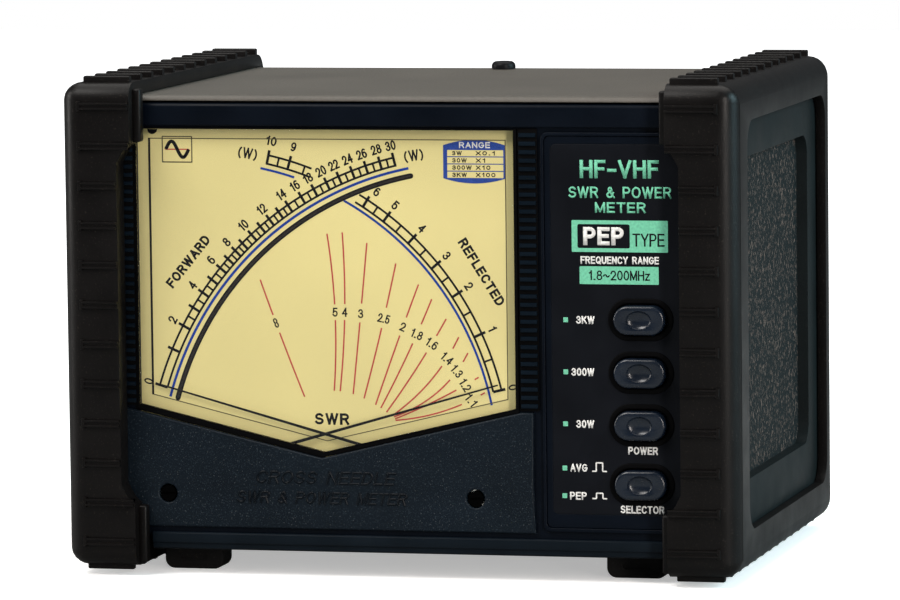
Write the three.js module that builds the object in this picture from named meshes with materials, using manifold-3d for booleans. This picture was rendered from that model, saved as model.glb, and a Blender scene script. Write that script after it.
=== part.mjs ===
// Cross-needle SWR and power meter: a bench instrument in a steel case with two ribbed end bumpers.
// Millimetres. X to the object's right, Y to its back, Z up. Origin: centre of the footprint at the feet.
import * as THREE from 'three';
import { mergeVertices } from 'three/addons/utils/BufferGeometryUtils.js';
import Module from 'manifold-3d';

// ---- driving dimensions -------------------------------------------------------------------------
const GAP = 0.3;                 // clearance between pieces that touch
const WIDTH = 180;               // over the bumpers
const FRONT = -65.45;            // front face of a bumper, behind its bars
const BACK = 66.35;              // back face of a bumper
const BUMPER_TOP = 130.35;
const BUMPER_BOTTOM = 2.4;
const BAR_PITCH = 10.39;         // grip bars down the front of a bumper
const TOP_BAR_PITCH = 10.2;      // grip bars along its top and bottom
const BAR_PROUD = 0.9;
const BAR_WIDTH = 1.6;
const BEZEL_FRONT = FRONT + 7;   // front plane of the bezel
const CASE_TOP = 126.0;
const CASE_BOTTOM = 10.1;
const CASE_BACK = 61.85;
const CASE_HALF = 82.9;          // half width of the steel case
const SHEET = 1.2;               // thickness of the case's sheet steel
const REAR_PANEL = 48.4;         // front face of the rear panel, set in under the hood
const FLOOR_FRONT = BEZEL_FRONT + 4.6;   // front edge of the chassis, behind the bezel
const SIDES_FRONT = BEZEL_FRONT + 7.4;   // front edge of the top cover's sides
const CHEEK_INNER = CASE_HALF + GAP;
const CHEEK_OUTER = 87.2;

const WINDOW = { left: -71.4, right: 29.7, top: 117.2, shoulder: 45.1, apexX: -21.5, apexZ: 33.1 };
const DIAL_FRONT = BEZEL_FRONT + 3.4;
const PANE_THICKNESS = 1.2;
const PANEL = { left: 37.05, right: 81.0, top: 116.9, bottom: 13.3 };
const LABEL = { left: 39.3, right: 78.6, top: 114.2, bottom: 17.7 };
const LOWER_COVER = { left: -76.3, right: 34.9, shoulder: 44.15, apexX: -22.25, apexZ: 31.45, bottom: 12.7 };

const BUTTON_X = 63.1;
const BUTTON_ROWS = { button_3kw: 68.7, button_300w: 55.0, button_30w: 41.4, button_selector: 26.0 };
const BUTTON_WIDTH = 13.6;
const BUTTON_HEIGHT = 7.6;
const BUTTON_FRONT = BEZEL_FRONT - 2.6;
const BUTTON_TRAVEL = 3.0;

const CONNECTOR_X = 26;
const CONNECTOR_Z = 76;
const CONNECTOR_END = 65.6;
const DC_JACK = { x: 54, z: 36 };

// Each movement of the crossed-needle meter: its pivot and its needle's tip at rest in X and Z, the plane
// that the needle turns in, and its zero-adjusting screw.
const MOVEMENTS = {
  forward: { pivot: [18.06, 26.6], tip: [-67.4, 50.25], plane: -56.75, screw: [18.92, 21.5] },
  reflected: { pivot: [-53.65, 28.3], tip: [24.6, 51.0], plane: -56.1, screw: [-64.05, 21.5] },
};
const SCREW_HOLE_RADIUS = 2.4;
const PIN_THROW = 1.0;           // eccentricity of a zero screw's pin

// ---- solids -------------------------------------------------------------------------------------
const wasm = await Module();
wasm.setup();

function solidOf(geometry) {
  const bare = geometry.clone();
  bare.deleteAttribute('normal');
  bare.deleteAttribute('uv');
  const merged = mergeVertices(bare, 1e-5);
  return new wasm.Manifold(new wasm.Mesh({
    numProp: 3,
    vertProperties: new Float32Array(merged.attributes.position.array),
    triVerts: new Uint32Array(merged.index.array),
  }));
}

function geometryOf(solid) {
  const mesh = solid.getMesh();
  const geometry = new THREE.BufferGeometry();
  geometry.setAttribute('position', new THREE.BufferAttribute(new Float32Array(mesh.vertProperties), 3));
  geometry.setIndex(new THREE.BufferAttribute(new Uint32Array(mesh.triVerts), 1));
  return geometry;
}

// Joins the first list of geometries and cuts the second list away.
function carve(joined, removed = []) {
  let solid = solidOf(joined[0]);
  for (const geometry of joined.slice(1)) {
    solid = solid.add(solidOf(geometry));
  }
  for (const geometry of removed) {
    solid = solid.subtract(solidOf(geometry));
  }
  return geometryOf(solid);
}

function block(x0, x1, y0, y1, z0, z1) {
  const geometry = new THREE.BoxGeometry(x1 - x0, y1 - y0, z1 - z0);
  return geometry.translate((x0 + x1) / 2, (y0 + y1) / 2, (z0 + z1) / 2);
}

function extrude(shape, depth, segments) {
  return new THREE.ExtrudeGeometry(shape, { depth, bevelEnabled: false, curveSegments: segments });
}

// A prism along Y: the shape's axes are X and Z.
function prismY(shape, y0, y1, segments = 4) {
  return extrude(shape, y1 - y0, segments).rotateX(Math.PI / 2).translate(0, y1, 0);
}

// A prism along X: the shape's axes are Y and Z.
function prismX(shape, x0, x1, segments = 4) {
  const turn = new THREE.Matrix4().makeBasis(
    new THREE.Vector3(0, 1, 0), new THREE.Vector3(0, 0, 1), new THREE.Vector3(1, 0, 0));
  return extrude(shape, x1 - x0, segments).applyMatrix4(turn).translate(x0, 0, 0);
}

function polygon(points) {
  return new THREE.Shape(points.map(([a, b]) => new THREE.Vector2(a, b)));
}

// A rectangle with one corner radius, or with four: bottom left, bottom right, top right, top left.
function roundedRectangle(a0, a1, b0, b1, radius) {
  const [bl, br, tr, tl] = Array.isArray(radius) ? radius : [radius, radius, radius, radius];
  const shape = new THREE.Shape();
  shape.moveTo(a0 + bl, b0);
  shape.lineTo(a1 - br, b0);
  shape.absarc(a1 - br, b0 + br, br, -Math.PI / 2, 0);
  shape.lineTo(a1, b1 - tr);
  shape.absarc(a1 - tr, b1 - tr, tr, 0, Math.PI / 2);
  shape.lineTo(a0 + tl, b1);
  shape.absarc(a0 + tl, b1 - tl, tl, Math.PI / 2, Math.PI);
  shape.lineTo(a0, b0 + bl);
  shape.absarc(a0 + bl, b0 + bl, bl, Math.PI, 1.5 * Math.PI);
  return shape;
}

function stadium(x, z, width, height) {
  return roundedRectangle(x - width / 2, x + width / 2, z - height / 2, z + height / 2, height / 2 - 0.01);
}

// A turned piece along Y, from [radius, y] points that start and end on the axis or close on themselves.
function turned(points, segments = 20) {
  const profile = points.map(([radius, y]) => new THREE.Vector2(radius, y));
  return new THREE.LatheGeometry(profile, segments);
}

function rod(radius, y0, y1, segments = 16) {
  return turned([[0, y0], [radius, y0], [radius, y1], [0, y1]], segments);
}

function ring(inner, outer, y0, y1, segments = 20) {
  return turned([[inner, y0], [outer, y0], [outer, y1], [inner, y1], [inner, y0]], segments);
}

function mirroredX(geometry) {
  const mirrored = geometry.clone().scale(-1, 1, 1);
  const index = mirrored.index.array;
  for (let i = 0; i < index.length; i += 3) {
    [index[i], index[i + 1]] = [index[i + 1], index[i]];
  }
  return mirrored;
}

// ---- materials and the scene graph --------------------------------------------------------------
const FINISHES = {
  bumper: [0x1a1613, 0.75, 0.0],
  cheek: [0x26302f, 0.8, 0.0],
  casePaint: [0x5a554e, 0.6, 0.3],
  chassis: [0x9a9c98, 0.45, 0.8],
  bezel: [0x0a1420, 0.5, 0.0],
  lowerCover: [0x1a2430, 0.55, 0.0],
  label: [0x14141c, 0.5, 0.0],
  button: [0x0b1626, 0.2, 0.0],
  dial: [0xd7c887, 0.7, 0.0],
  clear: [0xf4f4ee, 0.05, 0.0],
  black: [0x101012, 0.6, 0.0],
  steel: [0xa8a8a4, 0.35, 1.0],
  copper: [0xa85a30, 0.4, 1.0],
  ferrite: [0x2c2a2c, 0.7, 0.2],
  board: [0x22502c, 0.6, 0.0],
  plating: [0xc8c8c4, 0.25, 1.0],
  insulator: [0xe8e2d0, 0.5, 0.0],
  contact: [0xc8a048, 0.3, 1.0],
  rubber: [0x111112, 0.85, 0.0],
};

function add(parent, name, geometry, finish) {
  const [color, roughness, metalness] = FINISHES[finish];
  const mesh = new THREE.Mesh(geometry, new THREE.MeshStandardMaterial({ color, roughness, metalness }));
  mesh.name = name;
  parent.add(mesh);
  return mesh;
}

const meter = new THREE.Group();

// ---- bumpers and cheeks -------------------------------------------------------------------------
const BUMPER_OUTER = WIDTH / 2;
const BUMPER_TAB = 71.1;         // inner edge of the front face at the top and the bottom
const BUMPER_WAIST = 74.75;      // inner edge of the front face between the tabs
const BUMPER_LEDGE = 69.0;       // inner edge of the narrow ledge behind each tab
const BUMPER_WALL = 2.5;
const BUMPER_EDGE = 3.0;         // rounding of the outer edge
const BAR_OUTER = 84.9;
const BAR_COUNT_FRONT = 12;
const BAR_COUNT_TOP = 13;
const SIDE_OPENING = { front: -51.4, back: 57.2, bottom: 13.5, top: 119.6, corner: 7 };
const POCKET = { front: -43, back: 45.3, bottom: 25.5, top: 109.4, corner: 6, depth: 3 };

function bumperBody() {
  const e = BUMPER_EDGE;
  const profile = roundedRectangle(
    FRONT + e, BACK - e, BUMPER_BOTTOM + e, BUMPER_TOP - e, [1.5, 3.5, 3.5, 1.5]);
  const start = 40;
  const options = {
    depth: BUMPER_OUTER - start - e, bevelEnabled: true, bevelSize: e, bevelThickness: e,
    bevelSegments: 3, curveSegments: 4,
  };
  const turn = new THREE.Matrix4().makeBasis(
    new THREE.Vector3(0, 1, 0), new THREE.Vector3(0, 0, 1), new THREE.Vector3(1, 0, 0));
  return new THREE.ExtrudeGeometry(profile, options).applyMatrix4(turn).translate(start, 0, 0);
}

// The part of the front face that is cut back between the tabs, with an S-curve into each tab.
function waistOutline() {
  const top = 112.2;
  const bottom = 20.8;
  const step = (BUMPER_WAIST - BUMPER_TAB) / 2;
  const shape = new THREE.Shape();
  shape.moveTo(30, top + 1.8);
  shape.lineTo(BUMPER_TAB, top + 1.8);
  shape.quadraticCurveTo(BUMPER_TAB + 0.1, top, BUMPER_TAB + step, top - 0.6);
  shape.quadraticCurveTo(BUMPER_WAIST, top - 1.4, BUMPER_WAIST, top - 4.4);
  shape.lineTo(BUMPER_WAIST, bottom + 3.6);
  shape.quadraticCurveTo(BUMPER_WAIST, bottom + 0.8, BUMPER_TAB + step, bottom - 0.4);
  shape.quadraticCurveTo(BUMPER_TAB + 0.1, bottom - 1.2, BUMPER_TAB, bottom - 2);
  shape.lineTo(30, bottom - 2);
  return shape;
}

function bumperGeometry() {
  const ledgeBack = BEZEL_FRONT - GAP;
  const bars = [];
  for (let i = 0; i < BAR_COUNT_FRONT; i += 1) {
    const z = BUMPER_TOP - 6.8 - BAR_PITCH * i;
    const inWaist = z < 112 && z > 21;
    const inner = inWaist ? BUMPER_WAIST - 0.4 : BUMPER_TAB;
    bars.push(block(inner, BAR_OUTER, FRONT - BAR_PROUD, FRONT + 1, z - BAR_WIDTH / 2, z + BAR_WIDTH / 2));
  }
  const middle = (FRONT + BACK) / 2;
  for (let i = 0; i < BAR_COUNT_TOP; i += 1) {
    const y = middle + TOP_BAR_PITCH * (i - (BAR_COUNT_TOP - 1) / 2);
    const y0 = y - BAR_WIDTH / 2;
    const y1 = y + BAR_WIDTH / 2;
    bars.push(block(BUMPER_TAB + 1, BAR_OUTER + 1.5, y0, y1, BUMPER_TOP - 2, BUMPER_TOP + BAR_PROUD));
    bars.push(block(BUMPER_TAB + 1, BAR_OUTER + 1.5, y0, y1, BUMPER_BOTTOM - BAR_PROUD, BUMPER_BOTTOM + 2));
  }
  const ledges = [
    block(BUMPER_LEDGE, BUMPER_TAB + 1, FRONT + 3.4, ledgeBack, 114, BUMPER_TOP - 2.5),
    block(BUMPER_LEDGE, BUMPER_TAB + 1, FRONT + 3.4, ledgeBack, BUMPER_BOTTOM + 1, 18.6),
  ];
  const cuts = [
    block(30, BUMPER_TAB, FRONT - 5, BACK + 5, 0, 140),
  ];
  const shell = carve([bumperBody()], cuts);
  const hollow = block(
    30, BUMPER_OUTER - BUMPER_WALL, ledgeBack, CASE_BACK + GAP, CASE_BOTTOM - GAP, CASE_TOP + GAP);
  const waist = prismY(waistOutline(), FRONT - 5, ledgeBack + 0.5);
  const o = SIDE_OPENING;
  const opening = roundedRectangle(o.front, o.back, o.bottom, o.top, o.corner);
  const sideOpening = prismX(opening, BUMPER_OUTER - 10, BUMPER_OUTER + 5, 4);
  return carve([shell, ...ledges, ...bars], [hollow, waist, sideOpening]);
}

// The plate behind a bumper's side opening, with a pocket whose floor is textured.
function cheekGeometry() {
  const plate = block(CHEEK_INNER, CHEEK_OUTER, BEZEL_FRONT + 0.1, BACK - 7, CASE_BOTTOM, CASE_TOP);
  const p = POCKET;
  const outline = roundedRectangle(p.front, p.back, p.bottom, p.top, p.corner);
  const pocket = prismX(outline, CHEEK_OUTER - p.depth, CHEEK_OUTER + 1, 4);
  return carve([plate], [pocket]);
}

const ends = new THREE.Group();
meter.add(ends);
const bumper = bumperGeometry();
const cheek = cheekGeometry();
add(ends, 'bumper_right', bumper, 'bumper');
add(ends, 'bumper_left', mirroredX(bumper), 'bumper');
add(ends, 'cheek_right', cheek, 'cheek');
add(ends, 'cheek_left', mirroredX(cheek), 'cheek');

// ---- steel case ---------------------------------------------------------------------------------
const COVER_SCREW_Y = 57.5;
const LIP_FRONT = BEZEL_FRONT + 0.35;

function coverScrewHole() {
  return rod(1.8, -10, 10).rotateX(Math.PI / 2).translate(0, COVER_SCREW_Y, CASE_TOP);
}

function topCoverGeometry() {
  const under = CASE_TOP - SHEET - 0.05;
  const section = new THREE.Shape();
  section.moveTo(CASE_BACK, under);
  section.lineTo(CASE_BACK, CASE_TOP);
  section.lineTo(LIP_FRONT + 3.3, CASE_TOP);
  section.quadraticCurveTo(LIP_FRONT + 0.4, CASE_TOP, LIP_FRONT, under + 0.2);
  section.lineTo(LIP_FRONT, under);
  const sheet = prismX(section, -CASE_HALF, CASE_HALF, 4);
  const sides = [-1, 1].map((side) => {
    const inner = side * (CASE_HALF - SHEET);
    const outer = side * CASE_HALF;
    const x0 = Math.min(inner, outer);
    return block(x0, x0 + SHEET, SIDES_FRONT, CASE_BACK, CASE_BOTTOM + SHEET + GAP, CASE_TOP - 0.2);
  });
  return carve([sheet, ...sides], [coverScrewHole()]);
}

function chassisGeometry() {
  const wallOuter = CASE_HALF - SHEET - GAP;
  const floor = block(-CASE_HALF, CASE_HALF, FLOOR_FRONT, CASE_BACK, CASE_BOTTOM, CASE_BOTTOM + SHEET);
  const wallTop = 62;
  const walls = [-1, 1].map((side) => {
    const x0 = side > 0 ? wallOuter - SHEET : -wallOuter;
    return block(x0, x0 + SHEET, SIDES_FRONT, CASE_BACK, CASE_BOTTOM + 0.2, wallTop);
  });
  return carve([floor, ...walls]);
}

function rearPanelGeometry() {
  const half = CASE_HALF - 2 * SHEET - 2 * GAP;
  const plate = block(
    -half, half, REAR_PANEL, REAR_PANEL + 1.5, CASE_BOTTOM + SHEET + GAP, CASE_TOP - SHEET - 0.4);
  const holes = [-CONNECTOR_X, CONNECTOR_X].map((x) => (
    rod(7.4, REAR_PANEL - 1, REAR_PANEL + 3, 24).translate(x, 0, CONNECTOR_Z)));
  holes.push(rod(5.3, REAR_PANEL - 1, REAR_PANEL + 3, 20).translate(DC_JACK.x, 0, DC_JACK.z));
  // A tab folded back from the panel takes the top cover's screw.
  const tab = block(-5, 5, REAR_PANEL + 0.5, CASE_BACK - 0.8, CASE_TOP - 6.2, CASE_TOP - 5);
  return carve([plate, tab], [...holes, coverScrewHole()]);
}

const housing = new THREE.Group();
meter.add(housing);
add(housing, 'top_cover', topCoverGeometry(), 'casePaint');
add(housing, 'bottom_chassis', chassisGeometry(), 'chassis');
add(housing, 'rear_panel', rearPanelGeometry(), 'casePaint');

const coverScrew = add(housing, 'top_cover_screw', turned([
  [0, -9], [1.45, -9], [1.45, 0.3], [3.4, 0.3], [3.3, 1.3], [2.3, 2.0], [0, 2.2],
], 20), 'black');
coverScrew.rotation.x = Math.PI / 2;
coverScrew.position.set(0, COVER_SCREW_Y, CASE_TOP);

const FOOT = { left: -60.6, right: 59.0, half: 8.0, depth: 9, front: -47, rear: 38 };
for (const [name, x, y] of [
  ['foot_front_left', FOOT.left, FOOT.front], ['foot_front_right', FOOT.right, FOOT.front],
  ['foot_rear_left', FOOT.left, FOOT.rear], ['foot_rear_right', FOOT.right, FOOT.rear],
]) {
  const outline = roundedRectangle(-FOOT.half, FOOT.half, 0, CASE_BOTTOM - GAP, [2.6, 2.6, 0.8, 0.8]);
  const foot = add(housing, name, prismY(outline, 0, FOOT.depth, 4), 'rubber');
  foot.position.set(x, y, 0);
}

// ---- front: bezel, lower cover, trims, window ---------------------------------------------------
const PLATE_FRONT = BEZEL_FRONT + 1.25;
const PLATE_BACK = PLATE_FRONT + 1.8;
const BEZEL_TOP = 124.15;
const BEZEL_HALF = CASE_HALF - GAP;
const SKIRT_HALF = 68.6;

function bezelGeometry() {
  const plate = block(-BEZEL_HALF, BEZEL_HALF, PLATE_FRONT, PLATE_BACK, CASE_BOTTOM, BEZEL_TOP - 0.6);
  const topBar = roundedRectangle(BEZEL_FRONT, PLATE_BACK + 4, 118.15, BEZEL_TOP, [0.3, 0, 0, 1.1]);
  const bar = prismX(topBar, -BEZEL_HALF, BEZEL_HALF, 3);
  const baseStrip = prismX(roundedRectangle(BEZEL_FRONT, PLATE_BACK, CASE_BOTTOM, 11.3, [0, 0, 0, 0.5]),
    -BEZEL_HALF, BEZEL_HALF, 2);
  const skirt = prismX(roundedRectangle(BEZEL_FRONT, PLATE_BACK + 1, 6.7, 11, [0.8, 0.3, 0, 0]),
    -SKIRT_HALF, SKIRT_HALF, 2);
  const meterOpening = block(WINDOW.left - GAP, WINDOW.right + GAP, -70, -40, 14.5, WINDOW.top + GAP);
  const buttonOpenings = Object.values(BUTTON_ROWS).map((z) => (
    prismY(stadium(BUTTON_X, z, BUTTON_WIDTH + 1, BUTTON_HEIGHT + 1), -70, -40, 4)));
  return carve([plate, bar, baseStrip, skirt], [meterOpening, ...buttonOpenings]);
}

// The V-topped cover below the window, with a hole in front of each zero screw.
function lowerCoverGeometry() {
  const c = LOWER_COVER;
  const outline = polygon([
    [c.left, c.bottom], [c.right, c.bottom], [c.right, c.shoulder], [c.right - 3.6, c.shoulder],
    [c.apexX, c.apexZ], [c.left, c.shoulder],
  ]);
  const plate = prismY(outline, BEZEL_FRONT, PLATE_FRONT - GAP);
  const holes = Object.values(MOVEMENTS).map(({ screw: [x, z] }) => (
    rod(SCREW_HOLE_RADIUS, BEZEL_FRONT - 5, BEZEL_FRONT + 5, 20).translate(x, 0, z)));
  return carve([plate], holes);
}

function windowOutline(inset) {
  const w = WINDOW;
  return polygon([
    [w.left + inset, w.top - inset], [w.left + inset, w.shoulder + inset], [w.apexX, w.apexZ + inset],
    [w.right - inset, w.shoulder + inset], [w.right - inset, w.top - inset],
  ]);
}

const front = new THREE.Group();
meter.add(front);
add(front, 'front_bezel', bezelGeometry(), 'bezel');
add(front, 'lower_cover', lowerCoverGeometry(), 'lowerCover');
add(front, 'meter_window', prismY(windowOutline(0), BEZEL_FRONT, BEZEL_FRONT + PANE_THICKNESS), 'clear');

const TRIM_WIDTH = 5.2;
for (const [name, x0] of [['meter_trim_right', 30.9], ['meter_trim_left', -77.4]]) {
  const bottom = LOWER_COVER.shoulder + 0.4;
  add(front, name, block(x0, x0 + TRIM_WIDTH, BEZEL_FRONT + 0.1, PLATE_FRONT - GAP, bottom, 117.8), 'bezel');
}

// ---- crossed-needle meter -----------------------------------------------------------------------
const DIAL_BACK = DIAL_FRONT + 0.5;
const CASE_FRONT = DIAL_BACK + 0.35;
const METER_CASE = { left: -73.6, right: 31.9, bottom: 12.9, top: 117.8, back: -30, wall: 1.5 };
const DIAL = { left: -73.0, right: 31.3, shoulder: 43.0, apexZ: 31.2 };

function dialGeometry() {
  const d = DIAL;
  return prismY(polygon([
    [d.left, METER_CASE.top], [d.left, d.shoulder], [WINDOW.apexX, d.apexZ], [d.right, d.shoulder],
    [d.right, METER_CASE.top],
  ]), DIAL_FRONT, DIAL_BACK);
}

function meterCaseGeometry() {
  const { left, right, bottom, top, back, wall } = METER_CASE;
  const outer = block(left, right, CASE_FRONT, back, bottom, top);
  const inner = block(left + wall, right - wall, CASE_FRONT - 1, back - wall, bottom + wall, top - wall);
  return carve([outer], [inner]);
}

const YOKE = { inner: 8.0, outer: 10.4, front: -52, back: -42 };
const CORE_RADIUS = 4.6;
const SHAFT_RADIUS = 0.6;
const ZERO_ARM = { front: -55.55, back: -55.15, halfWidth: 1.6 };
const HAIRSPRING_Y = -54.1;

// A needle with its hub and a short balanced tail, flat on its plane.
function needleGeometry({ pivot, tip, plane }) {
  const [dx, dz] = [tip[0] - pivot[0], tip[1] - pivot[1]];
  const length = Math.hypot(dx, dz);
  const blade = polygon([[-3.4, -0.45], [0, -0.5], [length, -0.2], [length, 0.2], [0, 0.5], [-3.4, 0.45]]);
  const flat = prismY(blade, plane, plane + 0.25);
  const hub = rod(1.4, plane, plane + 0.25, 16);
  const hole = rod(SHAFT_RADIUS + 0.02, plane - 1, plane + 1, 12);
  return carve([flat, hub], [hole]).rotateY(-Math.atan2(dz, dx));
}

// The moving coil: a rectangular winding round the core, on two half shafts.
function coilGeometry({ plane }) {
  const { front: y0, back: y1 } = YOKE;
  const frame = carve(
    [block(-7.4, 7.4, y0 - 1.0, y1 + 1.0, -1.5, 1.5)],
    [block(-5.4, 5.4, y0 - 0.4, y1 + 0.4, -2, 2)]);
  const frontShaft = rod(SHAFT_RADIUS, plane - 0.1, y0 - 0.8, 12);
  const backShaft = rod(SHAFT_RADIUS, y1 + 0.8, y1 + 2.6, 12);
  return carve([frame, frontShaft, backShaft]);
}

// The soft iron ring with a bridge behind it that holds the rear bearing.
function yokeGeometry() {
  const { inner, outer, front: y0, back: y1 } = YOKE;
  const bridge = block(-3, 3, y1 + 1.6, y1 + 3.0, -outer + 0.4, outer - 0.4);
  const posts = [-1, 1].map((side) => (
    block(-3, 3, y1 - 0.5, y1 + 3.0, side * 9.2 - 0.9, side * 9.2 + 0.9)));
  return carve([ring(inner, outer, y0, y1, 24), bridge, ...posts], [rod(0.75, y1, y1 + 5, 12)]);
}

// The core inside the coil, with two lugs that reach towards the yoke.
function coreGeometry() {
  const { inner, front: y0, back: y1 } = YOKE;
  const middle = (y0 + y1) / 2;
  const lug = block(-1, 1, middle - 1.5, middle + 1.5, -(inner - GAP), inner - GAP);
  return carve([rod(CORE_RADIUS, y0, y1, 20), lug]);
}

// The flat spiral that returns the needle to its rest.
class Spiral extends THREE.Curve {
  getPoint(t, target = new THREE.Vector3()) {
    const angle = t * 2.25 * 2 * Math.PI;
    const radius = 1.1 + 2.4 * t;
    return target.set(radius * Math.cos(angle), 0, radius * Math.sin(angle));
  }
}

function hairspringGeometry(y) {
  const ribbon = polygon([[-0.25, -0.25], [0.25, -0.25], [0.25, 0.25], [-0.25, 0.25]]);
  const spring = new THREE.ExtrudeGeometry(ribbon, {
    steps: 36, bevelEnabled: false, curveSegments: 1, extrudePath: new Spiral(),
  });
  return spring.translate(0, y, 0);
}

// The lever that turns the hairspring's outer end: an eye on the pivot and a fork on the screw's pin.
function zeroArmGeometry({ pivot, screw }) {
  const [dx, dz] = [screw[0] - pivot[0], screw[1] - pivot[1]];
  const reach = Math.hypot(dx, dz) + PIN_THROW;
  const { front: y0, back: y1, halfWidth: half } = ZERO_ARM;
  const bar = prismY(roundedRectangle(0, reach + half, -half, half, 0.6), y0, y1, 2);
  const slot = block(reach - 1.2, reach + 3, y0 - 1, y1 + 1, -0.75, 0.75);
  const eye = rod(2.4, y0, y1, 16);
  return carve([bar, eye], [slot, rod(1.0, y0 - 1, y1 + 1, 12)]).rotateY(-Math.atan2(dz, dx));
}

function zeroScrewGeometry({ pivot, screw }) {
  const angle = Math.atan2(screw[1] - pivot[1], screw[0] - pivot[0]);
  const head = rod(2.05, BEZEL_FRONT + 0.25, BEZEL_FRONT + 1.4, 20);
  const slot = block(-3, 3, BEZEL_FRONT - 1, BEZEL_FRONT + 0.75, -0.35, 0.35);
  const pin = rod(0.55, BEZEL_FRONT + 1.2, ZERO_ARM.back + 0.15, 10);
  pin.translate(PIN_THROW * Math.cos(angle), 0, PIN_THROW * Math.sin(angle));
  return carve([head, pin], [slot]);
}

const instrument = new THREE.Group();
meter.add(instrument);
add(instrument, 'dial_plate', dialGeometry(), 'dial');
add(instrument, 'meter_case', meterCaseGeometry(), 'black');
for (const [side, movement] of Object.entries(MOVEMENTS)) {
  const [x, z] = movement.pivot;
  const unit = new THREE.Group();
  unit.position.set(x, 0, z);
  instrument.add(unit);
  add(unit, `${side}_needle`, needleGeometry(movement), 'black');
  add(unit, `${side}_coil`, coilGeometry(movement), 'copper');
  add(unit, `${side}_yoke`, yokeGeometry(), 'steel');
  add(unit, `${side}_core`, coreGeometry(), 'steel');
  add(unit, `${side}_hairspring`, hairspringGeometry(HAIRSPRING_Y), 'contact');
  add(unit, `${side}_zero_arm`, zeroArmGeometry(movement), 'steel');
  const zeroScrew = add(instrument, `${side}_zero_screw`, zeroScrewGeometry(movement), 'black');
  zeroScrew.position.set(movement.screw[0], 0, movement.screw[1]);
}

const LAMP_Z = 84;
for (const [name, x] of [['dial_lamp_left', -50], ['dial_lamp_right', 8]]) {
  const lamp = add(instrument, name, turned([
    [0, 0], [3.6, 0], [3.6, 5], [2.4, 5.4], [2.4, 11], [1.4, 12.4], [0, 12.8],
  ], 16), 'clear');
  lamp.rotation.x = Math.PI;
  lamp.position.set(x, METER_CASE.back - METER_CASE.wall - GAP, LAMP_Z);
}

// ---- control panel ------------------------------------------------------------------------------
function panelFrameGeometry() {
  const outer = prismY(roundedRectangle(PANEL.left, PANEL.right, PANEL.bottom, PANEL.top, 1.6),
    BEZEL_FRONT + 0.1, PLATE_FRONT - GAP, 3);
  const inner = prismY(roundedRectangle(LABEL.left, LABEL.right, LABEL.bottom, LABEL.top, 1.6), -70, -40, 3);
  return carve([outer], [inner]);
}

function labelPlateGeometry() {
  const outline = roundedRectangle(
    LABEL.left + GAP, LABEL.right - GAP, LABEL.bottom + GAP, LABEL.top - GAP, 1.4);
  const plate = prismY(outline, BEZEL_FRONT + 0.35, PLATE_FRONT - GAP, 3);
  const openings = Object.values(BUTTON_ROWS).map((z) => (
    prismY(stadium(BUTTON_X, z, BUTTON_WIDTH + 1, BUTTON_HEIGHT + 1), -70, -40, 4)));
  return carve([plate], openings);
}

const STEM = { width: 6, height: 3.6, end: -45 };
const SWITCH = { front: -50, back: -37.6, width: 13, height: 10 };

function buttonGeometry() {
  const rim = prismY(stadium(0, 0, BUTTON_WIDTH, BUTTON_HEIGHT), BUTTON_FRONT + 0.5, -54.4, 5);
  const face = prismY(stadium(0, 0, BUTTON_WIDTH - 1, BUTTON_HEIGHT - 1), BUTTON_FRONT, -55, 5);
  const stem = block(-STEM.width / 2, STEM.width / 2, -55, STEM.end, -STEM.height / 2, STEM.height / 2);
  return carve([rim, face, stem]);
}

function switchGeometry() {
  const body = block(-SWITCH.width / 2, SWITCH.width / 2, SWITCH.front, SWITCH.back,
    -SWITCH.height / 2, SWITCH.height / 2);
  const bore = block(-STEM.width / 2 - GAP, STEM.width / 2 + GAP, SWITCH.front - 1,
    STEM.end + BUTTON_TRAVEL + 1, -STEM.height / 2 - GAP, STEM.height / 2 + GAP);
  return carve([body], [bore]);
}

const controls = new THREE.Group();
meter.add(controls);
add(controls, 'control_panel', panelFrameGeometry(), 'bezel');
add(controls, 'label_plate', labelPlateGeometry(), 'label');
for (const [name, z] of Object.entries(BUTTON_ROWS)) {
  const button = add(controls, name, buttonGeometry(), 'button');
  button.position.set(BUTTON_X, 0, z);
  const body = add(controls, name.replace('button', 'switch'), switchGeometry(), 'black');
  body.position.set(BUTTON_X, 0, z);
}
add(controls, 'switch_board', block(46, 78.5, SWITCH.back + GAP, SWITCH.back + 1.9, 14, 82), 'board');

// ---- directional coupler and rear sockets -------------------------------------------------------
const COUPLER = { half: 44, front: 18, back: REAR_PANEL - GAP, bottom: 56, top: 96 };
const LINE_Y = 34;

function couplerBoxGeometry() {
  const c = COUPLER;
  const outer = block(-c.half, c.half, c.front, c.back, c.bottom, c.top);
  const inner = block(-c.half + 1, c.half - 1, c.front - 1, c.back - 1, c.bottom + 1, c.top - 1);
  const holes = [-CONNECTOR_X, CONNECTOR_X].map((x) => (
    rod(7.4, c.back - 3, c.back + 2, 24).translate(x, 0, CONNECTOR_Z)));
  return carve([outer], [inner, ...holes]);
}

function connectorGeometry() {
  const flangeFront = REAR_PANEL + 1.5 + GAP;
  const flange = prismY(roundedRectangle(-12.5, 12.5, -12.5, 12.5, 1.5), flangeFront, flangeFront + 1.8, 2);
  const barrel = turned([
    [0, 46.2], [7.0, 46.2], [7.0, flangeFront + 0.5], [7.9, flangeFront + 0.5], [7.9, CONNECTOR_END - 1.5],
    [7.3, CONNECTOR_END - 1.4], [7.3, CONNECTOR_END], [0, CONNECTOR_END],
  ], 24);
  return carve([flange, barrel], [rod(6.2, 40, 70, 24)]);
}

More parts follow.
